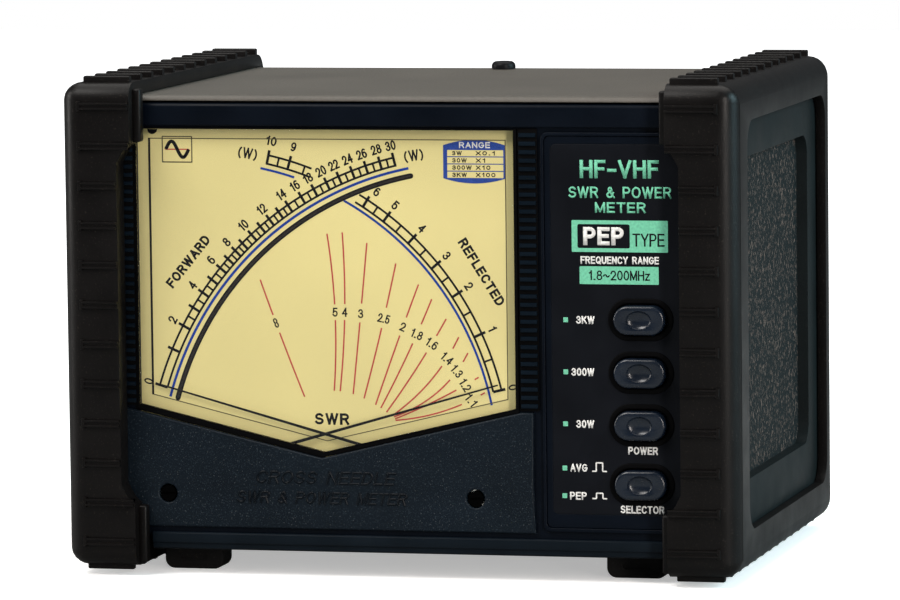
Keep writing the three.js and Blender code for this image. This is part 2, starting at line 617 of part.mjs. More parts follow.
const sockets = new THREE.Group();
meter.add(sockets);
add(sockets, 'coupler_box', couplerBoxGeometry(), 'steel');
add(sockets, 'coupler_lid', block(-COUPLER.half, COUPLER.half, COUPLER.front - 1.3, COUPLER.front - GAP,
  COUPLER.bottom, COUPLER.top), 'steel');
add(sockets, 'coupler_board', block(-40, 40, 20, 46, 60, 61.6), 'board');
const line = add(sockets, 'coupler_line', rod(1.6, -CONNECTOR_X - 3, CONNECTOR_X + 3, 16), 'copper');
line.rotation.z = -Math.PI / 2;
line.position.set(0, LINE_Y, CONNECTOR_Z);
const toroid = add(sockets, 'coupler_toroid', ring(2.2, 7.5, -5, 5, 24), 'ferrite');
toroid.rotation.z = -Math.PI / 2;
toroid.position.set(0, LINE_Y, CONNECTOR_Z);
for (const [side, x] of [['transmitter', -CONNECTOR_X], ['antenna', CONNECTOR_X]]) {
  const unit = new THREE.Group();
  unit.position.set(x, 0, CONNECTOR_Z);
  sockets.add(unit);
  add(unit, `${side}_connector`, connectorGeometry(), 'plating');
  add(unit, `${side}_insulator`, ring(3.1, 5.9, 46.2, 58, 24), 'insulator');
  add(unit, `${side}_contact`, turned([
    [0, LINE_Y + 2.2], [2.0, LINE_Y + 2.2], [2.0, 45.5], [2.8, 45.5], [2.8, 58.4], [2.0, 58.4],
    [2.0, 48], [0, 48],
  ], 16), 'contact');
}

const dcBody = add(sockets, 'dc_jack', turned([
  [0, 38], [5.0, 38], [5.0, 50.2], [6.2, 50.2], [6.2, 52.2], [2.9, 52.2], [2.9, 41], [0, 41],
], 20), 'black');
dcBody.position.set(DC_JACK.x, 0, DC_JACK.z);
const dcPin = add(sockets, 'dc_pin', rod(1.05, 41 + GAP, 51.4, 12), 'plating');
dcPin.position.set(DC_JACK.x, 0, DC_JACK.z);

export default meter;
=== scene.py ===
"""Models the looks of a crossed-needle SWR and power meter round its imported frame.

Pieces are modelled in millimetres, in the frame of the part, and brought to metres as they are finished.
"""

import math

import bmesh
import bpy
from bpy.props import FloatProperty, FloatVectorProperty, IntProperty, PointerProperty
from mathutils import Matrix, Vector


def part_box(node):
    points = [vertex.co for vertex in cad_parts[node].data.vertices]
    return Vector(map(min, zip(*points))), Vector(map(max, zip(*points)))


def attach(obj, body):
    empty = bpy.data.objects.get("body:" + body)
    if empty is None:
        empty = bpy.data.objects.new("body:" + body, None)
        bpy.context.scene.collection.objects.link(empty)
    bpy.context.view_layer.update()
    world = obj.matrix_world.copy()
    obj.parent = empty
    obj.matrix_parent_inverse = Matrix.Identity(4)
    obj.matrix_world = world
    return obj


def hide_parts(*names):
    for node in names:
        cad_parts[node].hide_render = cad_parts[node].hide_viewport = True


bl_info = {
    "name": "Crossed-Needle Power Meter",
    "version": (1, 0, 0),
    "blender": (4, 5, 0),
    "location": "View3D > Sidebar > Power Meter",
    "description": "Models the case, dial, controls and stage of a bench SWR and power meter",
    "category": "Add Mesh",
}

MM = 0.001
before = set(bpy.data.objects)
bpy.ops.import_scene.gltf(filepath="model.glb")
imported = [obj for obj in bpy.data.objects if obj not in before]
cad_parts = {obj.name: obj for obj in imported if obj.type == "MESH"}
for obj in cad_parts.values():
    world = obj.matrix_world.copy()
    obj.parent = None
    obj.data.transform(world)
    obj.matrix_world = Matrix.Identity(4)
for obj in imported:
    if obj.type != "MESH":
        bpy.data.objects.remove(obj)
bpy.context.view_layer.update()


def node_box(name):
    """The lowest and highest corners of a node of the frame, in millimetres."""
    low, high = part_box(name)
    return low / MM, high / MM


# ---- places taken from the frame ------------------------------------------------------------------

BUMPER_LOW, BUMPER_HIGH = node_box("bumper_right")
CHEEK_LOW, CHEEK_HIGH = node_box("cheek_right")
COVER_LOW, COVER_HIGH = node_box("top_cover")
BEZEL_LOW, BEZEL_HIGH = node_box("front_bezel")
PANE_LOW, PANE_HIGH = node_box("meter_window")
LOWER_LOW, LOWER_HIGH = node_box("lower_cover")
PANEL_LOW, PANEL_HIGH = node_box("control_panel")
LABEL_LOW, LABEL_HIGH = node_box("label_plate")

BEZEL_FRONT = BEZEL_LOW.y
PLATE_FRONT = BEZEL_FRONT + 1.25
PLATE_BACK = PLATE_FRONT + 1.8
DIAL_FRONT = node_box("dial_plate")[0].y

# Grip bars of a bumper.
BAR_PROUD = 0.9
FRONT_BAR_COUNT = 12
FRONT_BAR_PITCH = 10.39
FRONT_BAR_TOP = 7.7              # from the top of the bars on the top face to the first front bar
TOP_BAR_COUNT = 13
TOP_BAR_PITCH = 10.2
BAR_OUTER = 84.9
BUMPER_TAB = 71.1
BUMPER_WAIST = 74.75
WAIST_LOW, WAIST_HIGH = 21, 112

# The V-shaped lower edge of the window, and of the lower cover under it.
WINDOW_SHOULDER = 45.1
WINDOW_APEX = (-21.5, PANE_LOW.z)
COVER_SHOULDER = LOWER_HIGH.z
COVER_APEX = (-22.25, 31.45)
SCREW_HOLES = ((-64.05, 21.5), (18.92, 21.5))
SCREW_HOLE_RADIUS = 2.4

# Scales of the dial: each is printed round its own centre, with angles in degrees from +X.
FORWARD_CENTRE = (18.06, 23.55)
REFLECTED_CENTRE = (-53.65, 30.25)
FORWARD_ZERO = 162.9
REFLECTED_ZERO = 13.8
# How far each scale leaves the detector's curve: a power and the degrees there.
FORWARD_UNEVENNESS = (
    (6, 0.0), (9, 0.75), (12, 0.0), (14, -0.75), (18, 0.0), (22, 0.55), (24, 0.57), (26, 0.45), (30, 0.0))
REFLECTED_UNEVENNESS = ((1, 0.0), (2, 0.15), (3, -0.35), (4, -0.12), (5, 0.45), (6, 0.0))

# How many degrees the needles turn for a power: a gain and a soft start for each detector.
FORWARD_DETECTOR = (12.2, 0.43)
REFLECTED_DETECTOR = (26.8, 1.05)
# The upper end of the reflected scale is printed further on, past the crossing.
FAR_SHIFT = 2.4
SWR_STEPS = 40

BUTTONS = ("button_3kw", "button_300w", "button_30w", "button_selector")
BUTTON_OPENING = (14.6, 8.6)
BUTTON_WELL = (17.2, 11.0)
BUTTON_WELL_MOUTH = (14.3, 8.3)
BUTTON_DIMPLE = (3.4, 1.35, 2.55)

FEET = ("foot_front_left", "foot_front_right", "foot_rear_left", "foot_rear_right")

# Bolts of a coaxial socket's flange, from its axis.
BOLT_PLACES = [(a, b) for a in (-9.1, 9.1) for b in (-9.1, 9.1)]
THREAD_TURNS = 12


# ---- settings -------------------------------------------------------------------------------------

def length_setting(name, description, default, low, high):
    """A length that the user may change."""
    return FloatProperty(
        name=name, description=description, default=default, min=low, max=high,
        unit="LENGTH", subtype="DISTANCE")


def colour_setting(name, description, default):
    """A colour that the user may change."""
    return FloatVectorProperty(
        name=name, description=description, default=default, subtype="COLOR", size=3, min=0, max=1)


class MeterShapeSettings(bpy.types.PropertyGroup):
    """Sizes of the moulded pieces."""

    bumper_edge: length_setting(
        "Bumper edge", "Rounding of the outer edge of a bumper", 0.0052, 0.001, 0.006)
    bar_width: length_setting(
        "Bar width", "Width of a grip bar on a bumper", 0.0019, 0.001, 0.004)
    trim_ridges: IntProperty(
        name="Trim ridges", description="Number of ridges on each trim beside the window",
        default=33, min=8, max=60)
    button_edge: length_setting(
        "Button edge", "Rounding of the front edge of a push button", 0.0008, 0.0002, 0.002)
    print_thickness: length_setting(
        "Ink thickness", "Height of the printed ink above its plate", 0.00005, 0.00001, 0.0002)


class MeterColourSettings(bpy.types.PropertyGroup):
    """Colours of the finishes, as linear red, green and blue."""

    bumper: colour_setting(
        "Bumper", "Moulded plastic of the end bumpers", (0.0026, 0.0020, 0.0019))
    cheek: colour_setting(
        "Cheek", "Moulded plastic of the end plates", (0.0056, 0.0080, 0.0086))
    case_paint: colour_setting(
        "Case paint", "Textured paint of the steel cover", (0.055, 0.048, 0.04))
    bezel: colour_setting(
        "Bezel", "Satin plastic of the front bezel", (0.0014, 0.0031, 0.0068))
    lower_cover: colour_setting(
        "Lower cover", "Speckled plastic of the cover below the window", (0.0036, 0.0074, 0.0122))
    dial: colour_setting(
        "Dial", "Warm yellow card of the dial", (0.80, 0.70, 0.315))
    mint: colour_setting(
        "Caption green", "Green ink of the captions on the panel", (0.17, 0.56, 0.37))
    button: colour_setting(
        "Button", "Polished plastic of the push buttons", (0.0038, 0.0075, 0.015))


class MeterStageSettings(bpy.types.PropertyGroup):
    """The camera's place and the strength of the lights."""

    camera_place: FloatVectorProperty(
        name="Camera place", description="Where the camera stands",
        subtype="TRANSLATION", unit="LENGTH", size=3, default=(0.41371, -1.67603, 0.23337))
    camera_heading: FloatProperty(
        name="Heading", description="How far the camera is turned to its left",
        default=math.radians(13.9225), subtype="ANGLE", unit="ROTATION")
    camera_dip: FloatProperty(
        name="Dip", description="How far the camera looks down",
        default=math.radians(5.4869), subtype="ANGLE", unit="ROTATION")
    camera_roll: FloatProperty(
        name="Roll", description="How far the camera is tilted clockwise",
        default=math.radians(0.6752), subtype="ANGLE", unit="ROTATION")
    focal_length: FloatProperty(
        name="Focal length", description="Focal length of the lens, in millimetres",
        default=258.8, min=20, max=400, subtype="DISTANCE_CAMERA")
    light_power: FloatProperty(
        name="Light", description="Strength of the studio lights, as a share of their usual power",
        default=1.0, min=0.0, max=5.0, subtype="FACTOR")


# ---- modelling steps ------------------------------------------------------------------------------

def clear_selection():
    """Leaves edit mode and deselects everything."""
    if bpy.context.object and bpy.context.object.mode != "OBJECT":
        bpy.ops.object.mode_set(mode="OBJECT")
    bpy.ops.object.select_all(action="DESELECT")


def activate(*pieces):
    """Selects these pieces alone, and makes the first one active."""
    clear_selection()
    for piece in pieces:
        piece.select_set(True)
    bpy.context.view_layer.objects.active = pieces[0]
    return pieces[0]


def add_block(name, low, high):
    """A box between two corners."""
    clear_selection()
    low, high = Vector(low), Vector(high)
    bpy.ops.mesh.primitive_cube_add(size=1, location=(low + high) / 2, scale=high - low)
    piece = bpy.context.object
    piece.name = name
    bpy.ops.object.transform_apply(location=True, rotation=True, scale=True)
    return piece


def add_post(name, x, y, radius, low, high, sides):
    """An upright round post between two heights."""
    clear_selection()
    bpy.ops.mesh.primitive_cylinder_add(
        vertices=sides, radius=radius, depth=high - low, location=(x, y, (low + high) / 2))
    piece = bpy.context.object
    piece.name = name
    bpy.ops.object.transform_apply(location=True, rotation=True, scale=True)
    return piece


def select_where(piece, kind, chosen):
    """Enters edit mode with only the edges or faces selected whose corners pass the test."""
    activate(piece)
    bpy.ops.object.mode_set(mode="EDIT")
    bpy.ops.mesh.select_mode(type=kind)
    bpy.ops.mesh.select_all(action="DESELECT")
    mesh = bmesh.from_edit_mesh(piece.data)
    for element in mesh.edges if kind == "EDGE" else mesh.faces:
        if chosen([vertex.co for vertex in element.verts]):
            element.select_set(True)
    bmesh.update_edit_mesh(piece.data)


def round_edges(piece, radius, segments, chosen):
    """Rounds the edges whose corners pass the test."""
    select_where(piece, "EDGE", chosen)
    bpy.ops.mesh.bevel(offset=radius, segments=segments, affect="EDGES")
    bpy.ops.object.mode_set(mode="OBJECT")
    return piece


def along(axis, tolerance=1e-3):
    """A test for edges that run along one axis."""
    others = [i for i in range(3) if i != axis]

    def chosen(corners):
        a, b = corners
        return all(abs(a[i] - b[i]) < tolerance for i in others)
    return chosen


def at(axis, value, tolerance=1e-2):
    """A test for edges or faces that lie in one plane."""
    return lambda corners: all(abs(corner[axis] - value) < tolerance for corner in corners)


def apply_modifier(piece, kind, **settings):
    """Adds a modifier with these settings and applies it."""
    activate(piece)
    bpy.ops.object.modifier_add(type=kind)
    modifier = piece.modifiers[-1]
    for key, value in settings.items():
        setattr(modifier, key, value)
    bpy.ops.object.modifier_apply(modifier=modifier.name)
    return piece


def combine(piece, others, operation):
    """Joins or cuts a piece with others by booleans, and removes them."""
    for other in others:
        apply_modifier(piece, "BOOLEAN", object=other, operation=operation, solver="EXACT")
    discard(others)
    return piece


def soften(piece, width, segments=2, angle=38):
    """Rounds every sharp edge a little."""
    return apply_modifier(
        piece, "BEVEL", width=width, segments=segments, limit_method="ANGLE",
        angle_limit=math.radians(angle), miter_outer="MITER_ARC")


def tidy_mesh(piece, distance=0.0005):
    """Merges doubled corners and points every face outwards."""
    activate(piece)
    bpy.ops.object.mode_set(mode="EDIT")
    bpy.ops.mesh.select_all(action="SELECT")
    bpy.ops.mesh.remove_doubles(threshold=distance)
    bpy.ops.mesh.normals_make_consistent(inside=False)
    bpy.ops.object.mode_set(mode="OBJECT")
    return piece


AXES = {
    "Y": Matrix(((1, 0, 0, 0), (0, 0, -1, 0), (0, 1, 0, 0), (0, 0, 0, 1))),
    "X": Matrix(((0, 0, 1, 0), (1, 0, 0, 0), (0, 1, 0, 0), (0, 0, 0, 1))),
}


def add_curve(name, lines, **settings):
    """A curve object at the origin that holds these lines of points and no others."""
    clear_selection()
    bpy.ops.curve.primitive_bezier_circle_add()
    piece = bpy.context.object
    piece.name = name
    curve = piece.data
    curve.splines.clear()
    closed = settings.pop("closed", False)
    for key, value in settings.items():
        setattr(curve, key, value)
    for points in lines:
        spline = curve.splines.new("POLY")
        spline.points.add(len(points) - 1)
        spline.points.foreach_set("co", [c for x, y, z in points for c in (x, y, z, 1)])
        spline.use_cyclic_u = closed
    return piece


def add_plate(name, outlines, low, high, edge=0.0, axis="Y", resolution=2):
    """A plate between two depths along an axis, cut to closed outlines, with its rims rounded.

    Along Y the outlines are in X and Z, and along X they are in Y and Z.
    """
    piece = add_curve(
        name, [[(a, b, 0) for a, b in points] for points in outlines], closed=True,
        dimensions="2D", fill_mode="BOTH", extrude=(high - low) / 2 - edge,
        bevel_depth=edge, bevel_resolution=resolution, offset=-edge)
    bpy.ops.object.convert(target="MESH")
    offset = Vector((0, 1, 0)) if axis == "Y" else Vector((1, 0, 0))
    piece.matrix_world = Matrix.Translation(offset * (low + high) / 2) @ AXES[axis]
    bpy.ops.object.transform_apply(location=True, rotation=True, scale=True)
    return tidy_mesh(piece)


def add_turned(name, profile, steps=48):
    """A piece turned round the Y axis from (radius, y) points that start and end on the axis."""
    piece = add_curve(name, [[(radius, y, 0) for radius, y in profile]])
    bpy.ops.object.convert(target="MESH")
    apply_modifier(
        piece, "SCREW", axis="Y", angle=2 * math.pi, steps=steps, render_steps=steps,
        use_merge_vertices=True, merge_threshold=0.0005)
    return tidy_mesh(piece)


def add_caption(name, words, centre, width, height, front, turn=0.0, weight=0.35, slant=0.0, thickness=0.05):
    """Lettering drawn in strokes of even width, fitted to a width and a height round a centre.

    The strokes lie on a plate's face at the depth front, and stand out from it by the thickness.
    """
    stretch = (height - weight) / LETTER_HEIGHT
    letters, advance = word_strokes(words, 0.8 + 0.9 * weight / stretch)
    squeeze = (width - weight) / advance
    turn = math.radians(turn)
    strokes = []
    for points in letters:
        placed = []
        for a, b in points:
            high = (b - LETTER_HEIGHT / 2) * stretch
            along_line = (a - advance / 2) * squeeze + high * slant
            placed.append((
                centre[0] + along_line * math.cos(turn) - high * math.sin(turn),
                centre[1] + along_line * math.sin(turn) + high * math.cos(turn)))
        strokes += [[(x, 0, z) for x, z in run] for run in split_at_corners(placed, weight * 0.45)]
    piece = add_curve(
        name, strokes, dimensions="3D", bevel_depth=weight / 2, bevel_resolution=1, use_fill_caps=True)
    bpy.ops.object.convert(target="MESH")
    piece.scale.y = 2 * thickness / weight
    piece.location.y = front
    bpy.ops.object.transform_apply(location=True, rotation=True, scale=True)
    return tidy_mesh(piece, 0.0002)


def copy_piece(piece, offset=(0, 0, 0)):
    """A copy with its own mesh, moved by an offset."""
    activate(piece)
    bpy.ops.object.duplicate()
    return place(bpy.context.object, offset)


def copy_to(piece, node, other, name):
    """A copy of a piece made for one node, moved to where another node of the same size is."""
    copy = copy_piece(piece, node_box(other)[0] - node_box(node)[0])
    copy.name = name
    return copy


def discard(pieces):
    """Removes pieces that were only patterns or cutters."""
    for piece in pieces:
        bpy.data.objects.remove(piece, do_unlink=True)


def mirrored_copy(piece, name):
    """A copy on the other side of the middle plane."""
    copy = copy_piece(piece)
    copy.name = name
    copy.scale.x = -1
    bpy.ops.object.transform_apply(location=True, rotation=True, scale=True)
    return tidy_mesh(copy)


def place(piece, offset):
    """Moves a piece by an offset, in its mesh."""
    activate(piece)
    piece.location = offset
    bpy.ops.object.transform_apply(location=True, rotation=True, scale=True)
    return piece


def join(pieces, name):
    """Joins pieces into one object."""
    piece = activate(*pieces)
    if len(pieces) > 1:
        bpy.ops.object.join()
    piece.name = name
    return piece


def paint(piece, material):
    """Gives a piece one material all over."""
    piece.data.materials.clear()
    piece.data.materials.append(material)
    return piece


def finish_piece(piece, body, replaces=(), smooth=32):
    """Brings a piece to metres, shades it and lets it ride on its body."""
    activate(piece)
    piece.scale = (MM, MM, MM)
    bpy.ops.object.transform_apply(location=True, rotation=True, scale=True)
    if smooth:
        bpy.ops.object.shade_smooth_by_angle(angle=math.radians(smooth))
    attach(piece, body)
    if replaces:
        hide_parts(*replaces)
    return piece


# ---- outlines -------------------------------------------------------------------------------------

def arc(centre, radius, start, end, steps):
    """Points on an arc, with angles in degrees."""
    angles = [math.radians(start + (end - start) * i / steps) for i in range(steps + 1)]
    return [(centre[0] + radius * math.cos(a), centre[1] + radius * math.sin(a)) for a in angles]


def rounded_rectangle(a0, a1, b0, b1, radius, steps=6):
    """A rectangle with rounded corners: one radius, or bottom left, bottom right, top right, top left."""
    corners = radius if isinstance(radius, (list, tuple)) else [radius] * 4
    bl, br, tr, tl = [max(r, 0.01) for r in corners]
    return (
        arc((a0 + bl, b0 + bl), bl, 180, 270, steps) + arc((a1 - br, b0 + br), br, 270, 360, steps)
        + arc((a1 - tr, b1 - tr), tr, 0, 90, steps) + arc((a0 + tl, b1 - tl), tl, 90, 180, steps))


def stadium(x, z, width, height, steps=12):
    """An oblong with half-round ends."""
    return rounded_rectangle(
        x - width / 2, x + width / 2, z - height / 2, z + height / 2, height / 2 - 0.005, steps)


def circle(x, z, radius, steps=32):
    """A full circle."""
    return arc((x, z), radius, 0, 360 * (1 - 1 / steps), steps - 1)


def band(centre, radius, width, start, end, steps=60):
    """A strip along an arc."""
    outer = arc(centre, radius + width / 2, start, end, steps)
    inner = arc(centre, radius - width / 2, end, start, steps)
    return outer + inner


def stroke(points, width):
    """A strip of even width along a line of points."""
    left, right = [], []
    for i, (x, z) in enumerate(points):
        before, after = points[max(i - 1, 0)], points[min(i + 1, len(points) - 1)]
        run = Vector((after[0] - before[0], after[1] - before[1])).normalized() * (width / 2)
        left.append((x - run.y, z + run.x))
        right.append((x + run.y, z - run.x))
    return left + right[::-1]


def smooth_line(first, middle, last, steps=8):
    """Points on the parabola that passes through three points, with the middle one half way."""
    points = []
    for i in range(steps + 1):
        t = i / steps
        shares = ((1 - t) * (1 - 2 * t), 4 * t * (1 - t), t * (2 * t - 1))
        points.append(tuple(
            shares[0] * first[k] + shares[1] * middle[k] + shares[2] * last[k] for k in range(2)))
    return points


def polar(centre, radius, angle):
    """The point at a radius and an angle in degrees from a centre."""
    angle = math.radians(angle)
    return (centre[0] + radius * math.cos(angle), centre[1] + radius * math.sin(angle))


# ---- lettering ------------------------------------------------------------------------------------

LETTER_HEIGHT = 6.0


def bow(cx, cz, rx, rz, start, end, steps=10):
    """Points on part of an ellipse, with angles in degrees."""
    angles = [math.radians(start + (end - start) * i / steps) for i in range(steps + 1)]
    return [(cx + rx * math.cos(a), cz + rz * math.sin(a)) for a in angles]


# Each letter: its width, then its strokes, on a grid six units high.
LETTERS = {
    "0": (3.6, bow(1.8, 3, 1.8, 3, 90, 450, 20)),
    "1": (2.2, [(0.3, 4.6), (1.3, 5.1), (1.8, 6), (1.8, 0)]),
    "2": (3.7, bow(1.8, 4.2, 1.75, 1.8, 175, -30, 10) + [(2.6, 2.5), (0.1, 0), (3.7, 0)]),
    "3": (3.7, bow(1.75, 4.5, 1.55, 1.5, 165, -90, 10), bow(1.75, 1.55, 1.85, 1.55, 90, -165, 10)),
    "4": (3.9, [(2.9, 0), (2.9, 6), (0, 1.9), (3.9, 1.9)]),
    "5": (3.7, [(3.4, 6), (0.7, 6), (0.35, 2.9)] + bow(1.8, 1.95, 1.85, 1.95, 140, -160, 12)),
    "6": (3.7, bow(2.0, 3.2, 1.95, 2.8, 60, 180, 8) + [(0.05, 1.9)], bow(1.85, 1.9, 1.8, 1.9, 0, 360, 18)),
    "8": (3.7, bow(1.85, 4.55, 1.5, 1.45, 0, 360, 16), bow(1.85, 1.6, 1.85, 1.6, 0, 360, 18)),
    "9": (3.7, bow(1.85, 4.1, 1.8, 1.9, 0, 360, 18), [(3.65, 4.1)] + bow(1.7, 2.8, 1.95, 2.8, 0, -120, 8)),
    "A": (4.4, [(0, 0), (2.2, 6), (4.4, 0)], [(0.75, 2), (3.65, 2)]),
    "C": (4.3, bow(2.3, 3, 2.3, 3, 40, 320, 16)),
    "D": (4.2, [(1.8, 6), (0, 6), (0, 0), (1.8, 0)], bow(1.8, 3, 2.4, 3, 90, -90, 12)),
    "E": (3.6, [(3.6, 6), (0, 6), (0, 0), (3.6, 0)], [(0, 3.1), (3.3, 3.1)]),
    "F": (3.4, [(3.4, 6), (0, 6), (0, 0)], [(0, 3.1), (3, 3.1)]),
    "G": (4.6, bow(2.3, 3, 2.3, 3, 45, 350, 16) + [(4.6, 2.9), (2.6, 2.9)]),
    "H": (4.1, [(0, 0), (0, 6)], [(4.1, 0), (4.1, 6)], [(0, 3.1), (4.1, 3.1)]),
    "K": (4.1, [(0, 0), (0, 6)], [(4, 6), (0, 2.3)], [(1.4, 3.6), (4.2, 0)]),
    "L": (3.3, [(0, 6), (0, 0), (3.3, 0)]),
    "M": (4.8, [(0, 0), (0, 6), (2.4, 0.4), (4.8, 6), (4.8, 0)]),
    "N": (4.1, [(0, 0), (0, 6), (4.1, 0), (4.1, 6)]),
    "O": (4.7, bow(2.35, 3, 2.35, 3, 90, 450, 22)),
    "P": (3.8, [(0, 0), (0, 6), (2.1, 6)], bow(2.1, 4.4, 1.7, 1.6, 90, -90, 8) + [(0, 2.8)]),
    "Q": (4.7, bow(2.35, 3, 2.35, 3, 90, 450, 22), [(2.9, 1.5), (4.6, -0.4)]),
    "R": (
        4.1, [(0, 0), (0, 6), (2.3, 6)], bow(2.3, 4.5, 1.7, 1.5, 90, -90, 8) + [(0, 3)],
        [(2.3, 3), (4, 0)]),
    "S": (3.9, bow(1.95, 4.5, 1.75, 1.5, 25, 270, 12)[:-1] + bow(1.95, 1.55, 1.95, 1.5, 90, -155, 12)),
    "T": (4.0, [(0, 6), (4, 6)], [(2, 6), (2, 0)]),
    "U": (4.1, [(0, 6), (0, 2)] + bow(2.05, 2, 2.05, 2, 180, 360, 12) + [(4.1, 6)]),
    "V": (4.3, [(0, 6), (2.15, 0), (4.3, 6)]),
    "W": (6.2, [(0, 6), (1.6, 0), (3.1, 6), (4.6, 0), (6.2, 6)]),
    "X": (4.1, [(0, 0), (4.1, 6)], [(0, 6), (4.1, 0)]),
    "Y": (4.2, [(0, 6), (2.1, 2.7), (4.2, 6)], [(2.1, 2.7), (2.1, 0)]),
    "z": (2.9, [(0, 4), (2.9, 4), (0, 0), (2.9, 0)]),
    "&": (4.6, [(4.6, 0), (1.3, 4)] + bow(2.0, 4.75, 0.95, 1.2, 200, -20, 8) + [(0.7, 2.4)]
          + bow(1.75, 1.4, 1.6, 1.4, 150, 330, 8) + [(4.1, 2.7)]),
    "(": (1.6, bow(3.4, 2.6, 3.4, 4.2, 130, 230, 8)),
    ")": (1.6, bow(-1.8, 2.6, 3.4, 4.2, 50, -50, 8)),
    "~": (4.4, bow(1.1, 2.7, 1.1, 0.7, 180, 0, 6) + bow(3.3, 2.7, 1.1, 0.7, 180, 360, 6)[1:]),
    "-": (2.6, [(0, 2.5), (2.6, 2.5)]),
    ".": (1.0, [(0.25, 0.1), (0.75, 0.1)]),
    "∞": (
        6.6, bow(1.75, 3, 1.75, 1.6, 30, 330, 12) + bow(4.85, 3, 1.75, 1.6, 210, 510, 12)
        + [(3.27, 3.8)]),
    " ": (2.2,),
}


def word_strokes(words, gap):
    """The strokes of a line of lettering whose letters stand a gap apart, and its length."""
    strokes, x = [], 0.0
    for letter in words:
        width, *lines = LETTERS[letter]
        strokes += [[(x + a, b) for a, b in line] for line in lines]
        x += width + gap
    return strokes, x - gap


def split_at_corners(points, overlap):
    """Breaks a line at its sharp corners, and runs every end on by the overlap so that the corners fill."""
    points = [Vector(point) for point in points]
    runs, run = [], [points[0]]
    for before, here, after in zip(points, points[1:], points[2:]):
        run.append(here)
        if (here - before).angle(after - here, 0.0) > math.radians(38):
            runs.append(run)
            run = [here]
    runs.append(run + [points[-1]])
    for run in runs:
        first = run[0] - (run[1] - run[0]).normalized() * overlap
        last = run[-1] + (run[-1] - run[-2]).normalized() * overlap
        run[0], run[-1] = first, last
    return runs


# ---- materials ------------------------------------------------------------------------------------

class Surface:
    """A material under construction: a Principled shader and the nodes that feed it."""

    def __init__(self, name, **shader):
        self.material = bpy.data.materials.new(name)
        self.material.use_nodes = True
        self.tree = self.material.node_tree
        self.tree.nodes.clear()
        self.output = self.add("ShaderNodeOutputMaterial")
        self.shader = self.add("ShaderNodeBsdfPrincipled", **shader)
        self.link(self.shader, "BSDF", self.output, "Surface")
        self.coordinates = self.add("ShaderNodeTexCoord")

    def add(self, kind, **settings):
        """Adds a node: names of sockets set their values, and other names set the node's own settings."""
        node = self.tree.nodes.new(kind)
        for key, value in settings.items():
            label = key.replace("_", " ")
            matches = [s for s in node.inputs if s.name.lower() == label.lower()]
            if matches:
                matches[0].default_value = value
            else:
                setattr(node, key, value)
        return node

    def link(self, source, output, target, target_input):
        self.tree.links.new(source.outputs[output], target.inputs[target_input])

    def texture(self, kind, stretch, **settings):
        """A texture on the piece's own coordinates, stretched along its axes."""
        mapping = self.add("ShaderNodeMapping")
        mapping.inputs["Scale"].default_value = stretch
        self.link(self.coordinates, "Object", mapping, "Vector")
        node = self.add(kind, **settings)
        self.link(mapping, "Vector", node, "Vector")
        return node

    def noise(self, size_mm, detail=2.0, stretch=(1, 1, 1), roughness=0.5):
        """Noise whose features measure about size_mm."""
        return self.texture(
            "ShaderNodeTexNoise", stretch, Scale=1 / (size_mm * MM), Detail=detail, Roughness=roughness)

    def cells(self, size_mm):
        """Rounded cells that measure about size_mm."""
        return self.texture("ShaderNodeTexVoronoi", (1, 1, 1), Scale=1 / (size_mm * MM), feature="F1")

    def ramp(self, source, output, stops):
        """Turns a value into colours, from (position, colour) stops."""
        node = self.add("ShaderNodeValToRGB")
        elements = node.color_ramp.elements
        while len(elements) < len(stops):
            elements.new(0.5)
        for element, (position, colour) in zip(elements, stops):
            element.position = position
            element.color = (*colour, 1)
        self.link(source, output, node, "Fac")
        return node

    def mix(self, factor, first, second, blend="MIX"):
        """Mixes two colours; each argument is a value, an output or a (node, output) pair."""
        node = self.add("ShaderNodeMix", data_type="RGBA", blend_type=blend)
        for socket, value in (("Factor_Float", factor), ("A_Color", first), ("B_Color", second)):
            target = next(s for s in node.inputs if s.identifier == socket)
            if isinstance(value, tuple) and isinstance(value[0], bpy.types.Node):
                value = value[0].outputs[value[1]]
            if isinstance(value, bpy.types.NodeSocket):
                self.tree.links.new(value, target)
            elif socket == "Factor_Float":
                target.default_value = value
            else:
                target.default_value = (*value, 1)
        return next(s for s in node.outputs if s.identifier == "Result_Color")

    def spread(self, source, output, low, high):
        """Maps a texture value from 0.3..0.7 to low..high."""
        node = self.add("ShaderNodeMapRange")
        for name, value in (("From Min", 0.3), ("From Max", 0.7), ("To Min", low), ("To Max", high)):
            node.inputs[name].default_value = value
        self.link(source, output, node, "Value")
        return node

    def set_colour(self, socket):
        self.tree.links.new(socket, self.shader.inputs["Base Color"])

    def set_roughness(self, source, output, low, high):
        self.link(self.spread(source, output, low, high), "Result", self.shader, "Roughness")

    def bump(self, source, output, height_mm, strength):
        """Raises the surface by a texture."""
        node = self.add("ShaderNodeBump", Strength=strength, Distance=height_mm * MM)
        self.link(source, output, node, "Height")
        self.link(node, "Normal", self.shader, "Normal")


def scaled(colour, factor):
    return tuple(min(channel * factor, 1.0) for channel in colour)


def moulded_plastic(name, colour, roughness, grain=0.45, height=0.03, dust=0.0,
                    dust_colour=(0.2, 0.17, 0.14), gloss=0.08):
    """Moulded plastic with a fine grain, cloudy tone and a little dust in its grain."""
    surface = Surface(name, Specular_IOR_Level=gloss)
    clouds = surface.noise(14.0, 3.0)
    grain_noise = surface.noise(grain, 2.0)
    tone = surface.ramp(clouds, "Fac", [(0.35, scaled(colour, 0.86)), (0.65, scaled(colour, 1.16))])
    specks = surface.ramp(grain_noise, "Fac", [(0.62, (0, 0, 0)), (0.78, (dust, dust, dust))])
    surface.set_colour(surface.mix((specks, "Color"), (tone, "Color"), dust_colour))
    surface.set_roughness(clouds, "Fac", roughness - 0.06, roughness + 0.06)
    surface.bump(grain_noise, "Fac", height, 0.6)
    return surface.material


